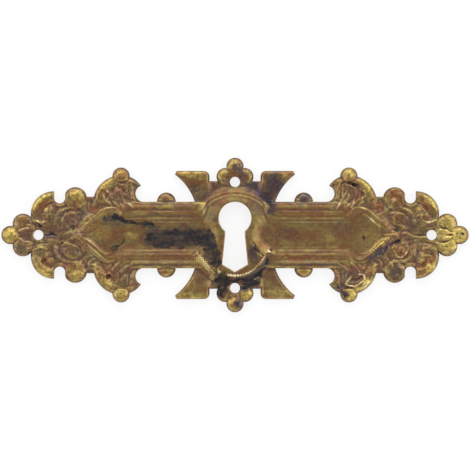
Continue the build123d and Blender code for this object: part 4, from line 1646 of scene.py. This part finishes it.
        # Grooves and recesses darkened with the grime tint: painted shade, together with dirt in the hollows
        dirt_and_shade = graph.math(
            "MAXIMUM",
            graph.patchy("recess", clouds.mottle, self.recess_cover),
            graph.patchy("groove", clouds.mottle, self.groove_cover),
        )
        stain = self.stain(graph, clouds)
        colour = self.lacquer_and_low_shade(graph, clouds)
        colour = graph.blend(dirt_and_shade, colour, self.grime_and_shade)
        colour = self.wear(graph, clouds, colour)
        colour = graph.blend(stain, colour, self.tarnish)
        dull = graph.math("MAXIMUM", stain, graph.times(dirt_and_shade, self.dirt_and_shade_dullness))
        self.surface(graph, clouds, colour, dull)
        return graph.material

    def clouds(self, graph: Graph) -> Clouds:
        """The noises, in millimetres, with streaks on the smooth parts and patches on the leaves.

        Args:
            graph: Nodes of the material.

        Returns:
            The noises.
        """
        place = graph.add("ShaderNodeTexCoord").outputs["Object"]
        vector = graph.scaled(place, (1.0 / MM, 1.0 / MM, 1.0 / MM))
        streaks = graph.noise(graph.scaled(vector, self.drawn), self.streaks)
        return Clouds(
            broad=graph.noise(vector, self.broad),
            patch=graph.mix(graph.attribute("leafy"), streaks, graph.noise(vector, self.patches)),
            mottle=graph.noise(vector, self.mottle),
            speck=graph.noise(vector, self.speck),
            grain=graph.noise(vector, self.grain),
        )

    def busy(self, graph: Graph, value: Socket, ramp: Ramp) -> Socket:
        """A ramp of a noise, fainter on the smooth parts than on the leaves."""
        share = graph.between(graph.attribute("leafy"), self.smooth_cover)
        return graph.times(graph.between(value, ramp), share)

    def lacquer_and_low_shade(self, graph: Graph, clouds: Clouds) -> Socket:
        """The colour of the brass under its lacquer, gilt in places, partly as painted highlights, and plum
        where it lies low as painted shade.

        Args:
            graph: Nodes of the material.
            clouds: The noises.

        Returns:
            The colour.
        """
        colour = graph.blend(graph.between(clouds.broad, self.brown_cover), self.olive, self.brown)
        colour = graph.blend(graph.between(clouds.patch, self.ruddy_cover), colour, self.ruddy)
        colour = graph.blend(self.busy(graph, clouds.mottle, self.cloud_cover), colour, self.plum)
        colour = graph.blend(graph.patchy("gilt", clouds.mottle, self.gilt_cover), colour, self.gilt)
        # Plum where the surface lies low: painted shade
        return graph.blend(graph.patchy("low", clouds.mottle, self.low_cover), colour, self.plum)

    def wear(self, graph: Graph, clouds: Clouds, colour: Socket) -> Socket:
        """The colour with its rubbed crests, painted highlights along fine ridges, its red stains, plum
        stains mixed with painted shade, pale worn places and painted highlights, its flecks and its glints.

        Args:
            graph: Nodes of the material.
            clouds: The noises.
            colour: The colour under the wear.

        Returns:
            The worn colour.
        """
        # Crests rubbed bright, and fine ridges lit gilt as painted highlights
        rubbed_and_highlit = graph.math(
            "MAXIMUM",
            graph.patchy("crest", clouds.grain, self.crest_cover),
            graph.patchy("ridge", clouds.patch, self.ridge_cover),
        )
        colour = graph.blend(rubbed_and_highlit, colour, self.gilt)
        # Red stains, and plum spots that include painted shade
        for name, tint in (("ruddy", self.ruddy), ("plum", self.plum)):
            colour = graph.blend(graph.patchy(name, clouds.mottle, self.stain_and_shade_cover), colour, tint)
        # Pale spots, strongest on fine ridges: worn places and painted highlights
        worn_and_highlit = graph.patchy("pale", clouds.grain, self.pale_cover)
        worn_and_highlit = graph.times(worn_and_highlit, graph.between(graph.attribute("ridge"), self.pale_on_ridge))
        colour = graph.blend(worn_and_highlit, colour, self.pale)
        colour = graph.blend(self.busy(graph, clouds.speck, self.fleck_cover), colour, self.grime_and_shade)
        return graph.blend(graph.between(clouds.speck, self.glint_cover), colour, self.gilt)

    def stain(self, graph: Graph, clouds: Clouds) -> Socket:
        """The share of tarnish, with a ragged edge and worn thin in places.

        Args:
            graph: Nodes of the material.
            clouds: The noises.

        Returns:
            A share from 0 to 1.
        """
        ragged = graph.times(graph.math("SUBTRACT", clouds.mottle, 0.5), self.ragged)
        stain = graph.between(graph.math("ADD", graph.attribute("tarnish"), ragged), self.tarnish_edge)
        stain = graph.times(stain, graph.between(clouds.speck, self.tarnish_speck))
        return graph.times(stain, graph.between(clouds.patch, self.tarnish_patch))

    def surface(self, graph: Graph, clouds: Clouds, colour: Socket, dull: Socket) -> None:
        """Finishes the material: metal under a fine bump, rougher and less metallic where it is dull.

        Args:
            graph: Nodes of the material.
            clouds: The noises.
            colour: Colour of the surface.
            dull: How dull it is, from 0 to 1.
        """
        grain = graph.times(clouds.grain, self.bump_grain)
        height = graph.math("ADD", grain, graph.times(clouds.mottle, self.bump_mottle))
        depth = self.bump_depth * MM
        bump = graph.add("ShaderNodeBump", Height=height, Strength=self.bump_strength, Distance=depth)
        rough = graph.math("ADD", dull, graph.times(clouds.mottle, self.rough_mottle))
        shader = graph.add(
            "ShaderNodeBsdfPrincipled",
            Base_Color=colour,
            Metallic=graph.between(dull, self.metal),
            Roughness=graph.between(rough, self.roughness),
            Normal=bump.outputs["Normal"],
        )
        graph.add("ShaderNodeOutputMaterial", Surface=shader.outputs["BSDF"])


@dataclass
class EscutcheonPlate:
    """The pressed sheet: its ornament, its mesh and its finish."""

    blank: Blank
    finish: AgedBrass
    ornaments: list[Ornament] = field(
        default_factory=lambda: [
            Buttons(),
            FlaredEar(),
            ReededBar(),
            KeyholeBoss(),
            LeafEar(),
            ScrollEnd(),
            Palmette(),
        ]
    )

    # The height map: its cells, its reach beyond the plate, its top, and its softening and dents
    map_pitch: float = 0.06
    map_margin: float = 1.0
    top: float = 2.88
    soften: float = 0.12
    broad_dents: Waver = Waver(0.03, 3.0, 11)
    small_dents: Waver = Waver(0.012, 0.8, 12)
    leaf_dents: Waver = Waver(0.03, 0.75, 13)
    leaf_crumple: Waver = Waver(0.09, 1.1, 14)
    crumple_drop: float = 0.06

    # The parts that count as leaf and scroll
    scroll_start: Point = (31.0, 33.0)
    ear_start: Point = (20.5, 22.0)
    ear_foot: Point = (6.4, 7.6)
    trefoil_foot: Point = (10.4, 11.6)
    trefoil_half: float = 5.0

    # The front skin: spacing of its points, rings along its edge, and finer points near the ropes
    point_pitch: float = 0.19
    fine_pitch: float = 0.12
    side: float = 0.2
    measuring_side: float = 0.02
    edge_rings: tuple[float, ...] = (0.11, 0.28)
    ring_slack: float = 0.93
    ring_gap: float = 0.6
    edge_round: float = 0.22
    rope_reach: float = 0.3
    rope_trace: float = 0.02
    merge_distance: float = 1e-6

    # The back skin: its rim, and the rings and slope at the rim's inner edge as shares of its width
    back_pitch: float = 0.45
    back_soften: float = 0.7
    rim: float = 0.55
    rim_rings: Point = (0.85, 1.1)
    rim_slope: Point = (0.9, 1.08)
    rim_clear: float = 1.4
    hole_clear: float = 0.3

    # The weathering and painted light: the reach and depth of hollows, which lay painted shade with dirt in
    # grooves and recesses and painted highlights on ridges, and how the stains drift
    near_hollow: Point = (0.6, 0.16)
    wide_hollow: Point = (2.0, 0.9)
    groove_reach: float = 0.42
    groove_depth: float = 0.028
    leaf_groove_depth: float = 0.03
    groove_start: float = 0.15
    recess_start: float = 0.1
    crest_start: float = 0.5
    low_soften: float = 0.3
    low_levels: Point = (1.0, 1.6)
    drift: tuple[Waver, Waver] = (Waver(0.25, 0.9, 21), Waver(0.25, 0.9, 22))
    sharp_angle: float = 50.0

    def relief(self) -> Relief:
        """Presses every ornament, softens the pressing and gives it the dents of a long life.

        Returns:
            The finished map.
        """
        reach = np.abs(self.blank.loops[0]).max(axis=0) + self.map_margin
        relief = Relief(reach[0], reach[1], self.map_pitch, FLANGE)
        for ornament in self.ornaments:
            ornament.press(relief)
            log.info("%s pressed", type(ornament).__name__)
        relief.height = relief.blurred(self.soften)
        relief.height += relief.cloud(self.broad_dents) + relief.cloud(self.small_dents)
        uneven = relief.cloud(self.leaf_dents) + np.abs(relief.cloud(self.leaf_crumple)) - self.crumple_drop
        relief.height += self.leafy(relief) * uneven
        relief.height = np.clip(relief.height, SHEET, self.top)
        log.info("relief: %d by %d cells", *relief.height.shape)
        return relief

    def leafy(self, relief: Relief) -> np.ndarray:
        """Share of leaf and scroll at each cell, as against smooth bar, boss and flares.

        Args:
            relief: The map.

        Returns:
            A share from 0 to 1 for each cell.
        """
        u, v = relief.u, relief.v
        ears = ease(u, *self.ear_start) * ease(v, *self.ear_foot)
        leaves = np.maximum(ease(u, *self.scroll_start), ears)
        return np.maximum(leaves, ease(v, *self.trefoil_foot) * (u < self.trefoil_half))

    @staticmethod
    def inner_points(loops: Loops, pitch: float) -> np.ndarray:
        """Points in staggered rows over the plate's plan.

        Args:
            loops: The outline and the piercings.
            pitch: Spacing of the points.

        Returns:
            The points inside the outline and outside the piercings.
        """
        starts = np.vstack(loops)
        ends = np.vstack([np.roll(loop, -1, axis=0) for loop in loops])
        low, high = starts[:, 1].min(), starts[:, 1].max()
        rows = []
        for number, y in enumerate(np.arange(low + pitch / 2.0, high, pitch * math.sqrt(0.75))):
            crossed = (starts[:, 1] <= y) != (ends[:, 1] <= y)
            a, b = starts[crossed], ends[crossed]
            hits = np.sort(a[:, 0] + (y - a[:, 1]) * (b[:, 0] - a[:, 0]) / (b[:, 1] - a[:, 1]))
            shift = pitch / 2.0 * (number % 2)
            for left, right in zip(hits[::2], hits[1::2]):
                x = np.arange(math.ceil((left - shift) / pitch), math.floor((right - shift) / pitch) + 1)
                rows.append(np.column_stack([x * pitch + shift, np.full(len(x), y)]))
        return np.vstack(rows)

    @staticmethod
    def edge_distance(loops: Loops, points: np.ndarray) -> np.ndarray:
        """Distance of each point from the nearest of some loops.

        Args:
            loops: The loops, finely divided.
            points: Places in millimetres, one row each.

        Returns:
            A distance for each point.
        """
        dense = np.vstack(loops)
        tree = kdtree.KDTree(len(dense))
        for index, (x, y) in enumerate(dense):
            tree.insert((x, y, 0.0), index)
        tree.balance()
        return np.array([tree.find((x, y, 0.0))[2] for x, y in points])

    def rings(self, loops: Loops, dense: Loops, insets: Iterable[float]) -> np.ndarray:
        """Points that follow the loops at some distances inside the sheet.

        Args:
            loops: The outline and the piercings.
            dense: The same loops, divided finely, for measuring.
            insets: Distances from the edge.

        Returns:
            The points of every ring that keep their distance from the whole edge.
        """
        kept = []
        for inset in insets:
            for loop in loops:
                run = np.roll(loop, -1, axis=0) - np.roll(loop, 1, axis=0)
                normal = np.column_stack([-run[:, 1], run[:, 0]]) / np.hypot(*run.T)[:, None]
                ring = loop + inset * normal
                kept.append(ring[self.edge_distance(dense, ring) > self.ring_slack * inset])
        return np.vstack(kept)

    def skin(self, loops: Loops, extra: np.ndarray) -> Skin:
        """Triangulates the plan.

        Args:
            loops: The outline and the piercings, whose points come first in the result.
            extra: Points inside.

        Returns:
            All the points, and triangles as triples of their indices.
        """
        points = np.vstack([*loops, extra])
        edges = []
        first = 0
        for loop in loops:
            count = len(loop)
            edges += [(first + i, first + (i + 1) % count) for i in range(count)]
            first += count
        places = [Vector(p) for p in points]
        made = geometry.delaunay_2d_cdt(places, edges, [], 0, self.merge_distance, True)
        if len(made[0]) != len(points):
            raise ValueError(f"triangulation changed {len(points)} points to {len(made[0])}")
        order = np.array([sources[0] for sources in made[3]])
        faces = order[np.array(made[2])]
        doubtful = faces.max(axis=1) < first
        kept = ~doubtful
        kept[doubtful] = self.within(loops, np.sort(faces[doubtful], axis=1))
        return points, [tuple(face) for face in faces[kept].tolist()]

    @staticmethod
    def within(loops: Loops, corners: np.ndarray) -> np.ndarray:
        """Which triangles between points of the loops lie in the sheet.

        Args:
            loops: The outline and the piercings, with the sheet to the left of each.
            corners: Indices of each triangle's points, in rising order.

        Returns:
            True for a triangle that joins two loops, or that turns left along its one loop.
        """
        owner = np.repeat(np.arange(len(loops)), [len(loop) for loop in loops])[corners]
        a, b, c = np.moveaxis(np.vstack(loops).astype(np.float32).astype(float)[corners], 1, 0)
        turn = (b[:, 0] - a[:, 0]) * (c[:, 1] - a[:, 1]) - (b[:, 1] - a[:, 1]) * (c[:, 0] - a[:, 0])
        return (owner != owner[:, :1]).any(axis=1) | (turn > 0.0)

    def build(self) -> bpy.types.Object:
        """Makes the plate's object: front, walls and hollow back in one closed mesh.

        Returns:
            The object, not yet dressed.
        """
        relief = self.relief()
        loops = self.blank.refined(self.side)
        dense = self.blank.refined(self.measuring_side)
        front, front_faces = self.front_skin(relief, loops, dense)
        back, back_faces = self.back_skin(relief, loops, dense)
        offset = len(front)
        faces = front_faces + [tuple(offset + i for i in reversed(face)) for face in back_faces]
        first = 0
        for loop in loops:
            ring = range(first, first + len(loop))
            faces += [(a, offset + a, offset + b, b) for a, b in zip(ring, [*ring[1:], first])]
            first += len(loop)
        mesh = bpy.data.meshes.new(NODE)
        mesh.from_pydata((np.vstack([front, back]) * MM).tolist(), [], faces)
        mesh.validate()
        self.weather_and_shade(mesh, relief, front, len(back))
        plate = bpy.data.objects.new("pressed_plate", mesh)
        bpy.context.scene.collection.objects.link(plate)
        return plate

    def front_skin(self, relief: Relief, loops: Loops, dense: Loops) -> Skin:
        """Shapes the front, with finer points along the ropes and a rounded edge.

        Args:
            relief: The pressed map.
            loops: The outline and the piercings.
            dense: The same loops, divided finely, for measuring.

        Returns:
            Its points, and triangles as triples of their indices.
        """
        rings = self.rings(loops, dense, self.edge_rings)
        near_rope = relief.blurred(self.rope_reach, relief.fine.astype(float)) > self.rope_trace
        coarse, fine = (self.inner_points(loops, pitch) for pitch in (self.point_pitch, self.fine_pitch))
        coarse = coarse[relief.sample(near_rope.astype(float), coarse) < 0.5]
        fine = fine[relief.sample(near_rope.astype(float), fine) >= 0.5]
        inner = np.vstack([coarse, fine])
        margin = self.edge_rings[-1] + self.ring_gap * self.point_pitch
        inner = inner[self.edge_distance(dense, inner) > margin]
        points, faces = self.skin(loops, np.vstack([rings, inner]))
        height = relief.sample(relief.height, points)
        radius = np.maximum(relief.sample(relief.bevel, points), self.edge_round)
        distance = np.minimum(self.edge_distance(dense, points), radius)
        height -= radius * (1.0 - np.sqrt(1.0 - (1.0 - distance / radius) ** 2))
        return np.column_stack([points, height]), faces

    def back_skin(self, relief: Relief, loops: Loops, dense: Loops) -> Skin:
        """Shapes the back: the front drawn in by one sheet, with a flat rim.

        Args:
            relief: The pressed map.
            loops: The outline and the piercings.
            dense: The same loops, divided finely, for measuring.

        Returns:
            Its points, and triangles as triples of their indices.
        """
        ledge = self.rings(loops[:1], dense[:1], [share * self.rim for share in self.rim_rings])
        ledge = ledge[self.edge_distance(dense, ledge) > self.hole_clear]
        inner = self.inner_points(loops, self.back_pitch)
        inner = inner[self.edge_distance(dense, inner) > self.rim_clear * self.rim]
        points, faces = self.skin(loops, np.vstack([ledge, inner]))
        hollow = np.clip(relief.sample(relief.blurred(self.back_soften), points) - SHEET, 0.0, None)
        from_edge = self.edge_distance(dense[:1], points)
        height = hollow * ease(from_edge, *(share * self.rim for share in self.rim_slope))
        return np.column_stack([points, height]), faces

    def weather_and_shade(self, mesh: bpy.types.Mesh, relief: Relief, front: np.ndarray, spare: int) -> None:
        """Stores on the mesh where it is hollow, proud, leafy, low and stained, as masks for painted shade,
        painted highlights, wear and stains.

        Args:
            mesh: The plate's mesh, with the points of the front first.
            relief: The pressed map.
            front: The points of the front.
            spare: Number of points of the back, which stay plain.
        """
        close = relief.blurred(self.soften)
        spans = (self.near_hollow, self.wide_hollow)
        near, wide = ((relief.blurred(reach) - close) / depth for reach, depth in spans)
        leafy = self.leafy(relief)
        depth = self.groove_depth + self.leaf_groove_depth * leafy
        groove = relief.sample((relief.blurred(self.groove_reach) - relief.height) / depth, front)
        hollow = relief.sample(near + wide, front)
        low = relief.sample(relief.blurred(self.low_soften), front)
        drift = [relief.sample(relief.cloud(waver), front) for waver in self.drift]
        places = front[:, :2] + np.column_stack(drift)
        # groove and recess hold painted shade together with dirt, low holds painted shade, ridge holds
        # painted highlights, and the plum, gilt and pale spots mix stains and wear with painted shade and
        # painted highlights
        layers = {
            "groove": np.clip(groove - self.groove_start, 0.0, 1.0),
            "ridge": np.clip(-groove - self.groove_start, 0.0, 1.0),
            "recess": np.clip(hollow - self.recess_start, 0.0, 1.0),
            "crest": np.clip(-hollow - self.crest_start, 0.0, 1.0),
            "leafy": relief.sample(leafy, front),
            "low": 1.0 - ease(low, *self.low_levels),
            "tarnish": self.finish.paint(self.finish.dark_stains, places),
            "ruddy": self.finish.paint(self.finish.red_stains, places),
            "plum": self.finish.paint(self.finish.plum_stains_and_shade, places),
            "gilt": self.finish.paint(self.finish.gilt_wear_and_highlights, places),
            "pale": self.finish.paint(self.finish.pale_wear_and_highlights, front),
        }
        for name, values in layers.items():
            attribute = mesh.attributes.new(name, "FLOAT", "POINT")
            attribute.data.foreach_set("value", np.pad(values, (0, spare)).astype(np.float32))
        mesh.shade_smooth()
        mesh.set_sharp_from_angle(angle=math.radians(self.sharp_angle))

    def dress(self, plate: bpy.types.Object) -> None:
        """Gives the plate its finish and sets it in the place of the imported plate.

        Args:
            plate: The plate's object.
        """
        plate.data.materials.append(self.finish.material())
        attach(plate, "root")
        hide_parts(NODE)


@dataclass(frozen=True)
class Softbox:
    """A rectangular lamp that looks at the plate, with its place and size in metres."""

    name: str
    place: tuple[float, float, float]
    size: tuple[float, float]
    brightness: float

    def build(self) -> None:
        """Makes the lamp, with its power worked out from how bright its face is."""
        data = bpy.data.lights.new(self.name, "AREA")
        data.shape = "RECTANGLE"
        data.size, data.size_y = self.size
        data.energy = self.brightness * math.pi * self.size[0] * self.size[1]
        lamp = bpy.data.objects.new(self.name, data)
        lamp.location = self.place
        lamp.rotation_euler = (-Vector(self.place)).to_track_quat("-Z", "Y").to_euler()
        lamp.visible_camera = False
        bpy.context.scene.collection.objects.link(lamp)


@dataclass
class Studio:
    """The pale floor, the lamps, the world and the camera straight above the plate."""

    view_width: float = 103.165
    focus_height: float = 1.2
    lens: float = 180.0
    sensor: float = 36.0
    clip_start: float = 0.01
    floor_size: float = 4.0
    floor_drop: float = 0.02
    floor_colour: Colour = (0.92, 0.92, 0.92)
    white_share: float = 0.8
    world_level: float = 0.5
    lamps: tuple[Softbox, ...] = (
        Softbox("back_softbox", (0.0, 0.60, 0.36), (1.1, 0.5), 2.2),
        Softbox("left_softbox", (-0.60, 0.05, 0.32), (0.5, 0.8), 1.5),
        Softbox("right_softbox", (0.60, 0.05, 0.32), (0.5, 0.8), 1.7),
        Softbox("front_softbox", (0.0, -0.60, 0.30), (1.1, 0.4), 1.0),
    )

    def build(self) -> None:
        """Makes the whole studio."""
        for lamp in self.lamps:
            lamp.build()
        self.floor()
        self.world()
        self.camera()
        bpy.context.scene.view_settings.view_transform = "Standard"

    @staticmethod
    def shown(graph: Graph) -> Socket:
        """A socket that is 1 for what the camera sees, straight, in a reflection or through glass.

        Args:
            graph: Nodes of the material.

        Returns:
            The socket.
        """
        path = graph.add("ShaderNodeLightPath")
        socket = path.outputs["Is Camera Ray"]
        for name in ("Is Glossy Ray", "Is Transmission Ray"):
            socket = graph.math("MAXIMUM", socket, path.outputs[name])
        return socket

    def floor(self) -> None:
        """Makes the floor, which looks white and keeps a soft shadow of the plate."""
        half = self.floor_size / 2.0
        level = -self.floor_drop * MM
        corners = [(x * half, y * half, level) for x, y in ((-1, -1), (1, -1), (1, 1), (-1, 1))]
        mesh = bpy.data.meshes.new("floor")
        mesh.from_pydata(corners, [], [(0, 1, 2, 3)])
        floor = bpy.data.objects.new("floor", mesh)
        bpy.context.scene.collection.objects.link(floor)
        graph = Graph("pale_floor")
        matt = graph.add("ShaderNodeBsdfDiffuse", Color=(*self.floor_colour, 1.0))
        white = graph.add("ShaderNodeEmission", Color=WHITE, Strength=1.0)
        share = graph.times(self.shown(graph), self.white_share)
        mixed = graph.add("ShaderNodeMixShader")
        for number, socket in enumerate((share, matt.outputs[0], white.outputs[0])):
            graph.put(mixed.inputs[number], socket)
        graph.add("ShaderNodeOutputMaterial", Surface=mixed.outputs[0])
        mesh.materials.append(graph.material)

    def world(self) -> None:
        """Makes a soft even surround that the camera sees as white."""
        world = bpy.data.worlds.new("studio")
        bpy.context.scene.world = world
        world.use_nodes = True
        tree = world.node_tree
        tree.nodes.clear()
        path = tree.nodes.new("ShaderNodeLightPath")
        mixed = tree.nodes.new("ShaderNodeMixShader")
        tree.links.new(path.outputs["Is Camera Ray"], mixed.inputs[0])
        for number, strength in ((1, self.world_level), (2, 1.0)):
            background = tree.nodes.new("ShaderNodeBackground")
            background.inputs["Color"].default_value = WHITE
            background.inputs["Strength"].default_value = strength
            tree.links.new(background.outputs[0], mixed.inputs[number])
        output = tree.nodes.new("ShaderNodeOutputWorld")
        tree.links.new(mixed.outputs[0], output.inputs["Surface"])

    def camera(self) -> None:
        """Makes the camera, straight above the plate with +Y up in the picture."""
        data = bpy.data.cameras.new("camera")
        data.lens = self.lens
        data.sensor_width = self.sensor
        data.clip_start = self.clip_start
        camera = bpy.data.objects.new("camera", data)
        distance = self.view_width * self.lens / self.sensor
        camera.location = (0.0, 0.0, (self.focus_height + distance) * MM)
        bpy.context.scene.collection.objects.link(camera)
        bpy.context.scene.camera = camera


def main() -> None:
    """Builds the plate and the studio."""
    logging.basicConfig(level=logging.INFO, format="%(relativeCreated)6d ms %(name)s: %(message)s")
    blank = Blank(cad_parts[NODE])
    log.info("outline: %d loops of %s points", len(blank.loops), [len(loop) for loop in blank.loops])
    sheet = EscutcheonPlate(blank, AgedBrass())
    plate = sheet.build()
    sheet.dress(plate)
    log.info("%s: %d points, %d faces", plate.name, len(plate.data.vertices), len(plate.data.polygons))
    Studio().build()
    log.info("studio: floor, lamps, world and camera")


if __name__ == "__main__":
    main()
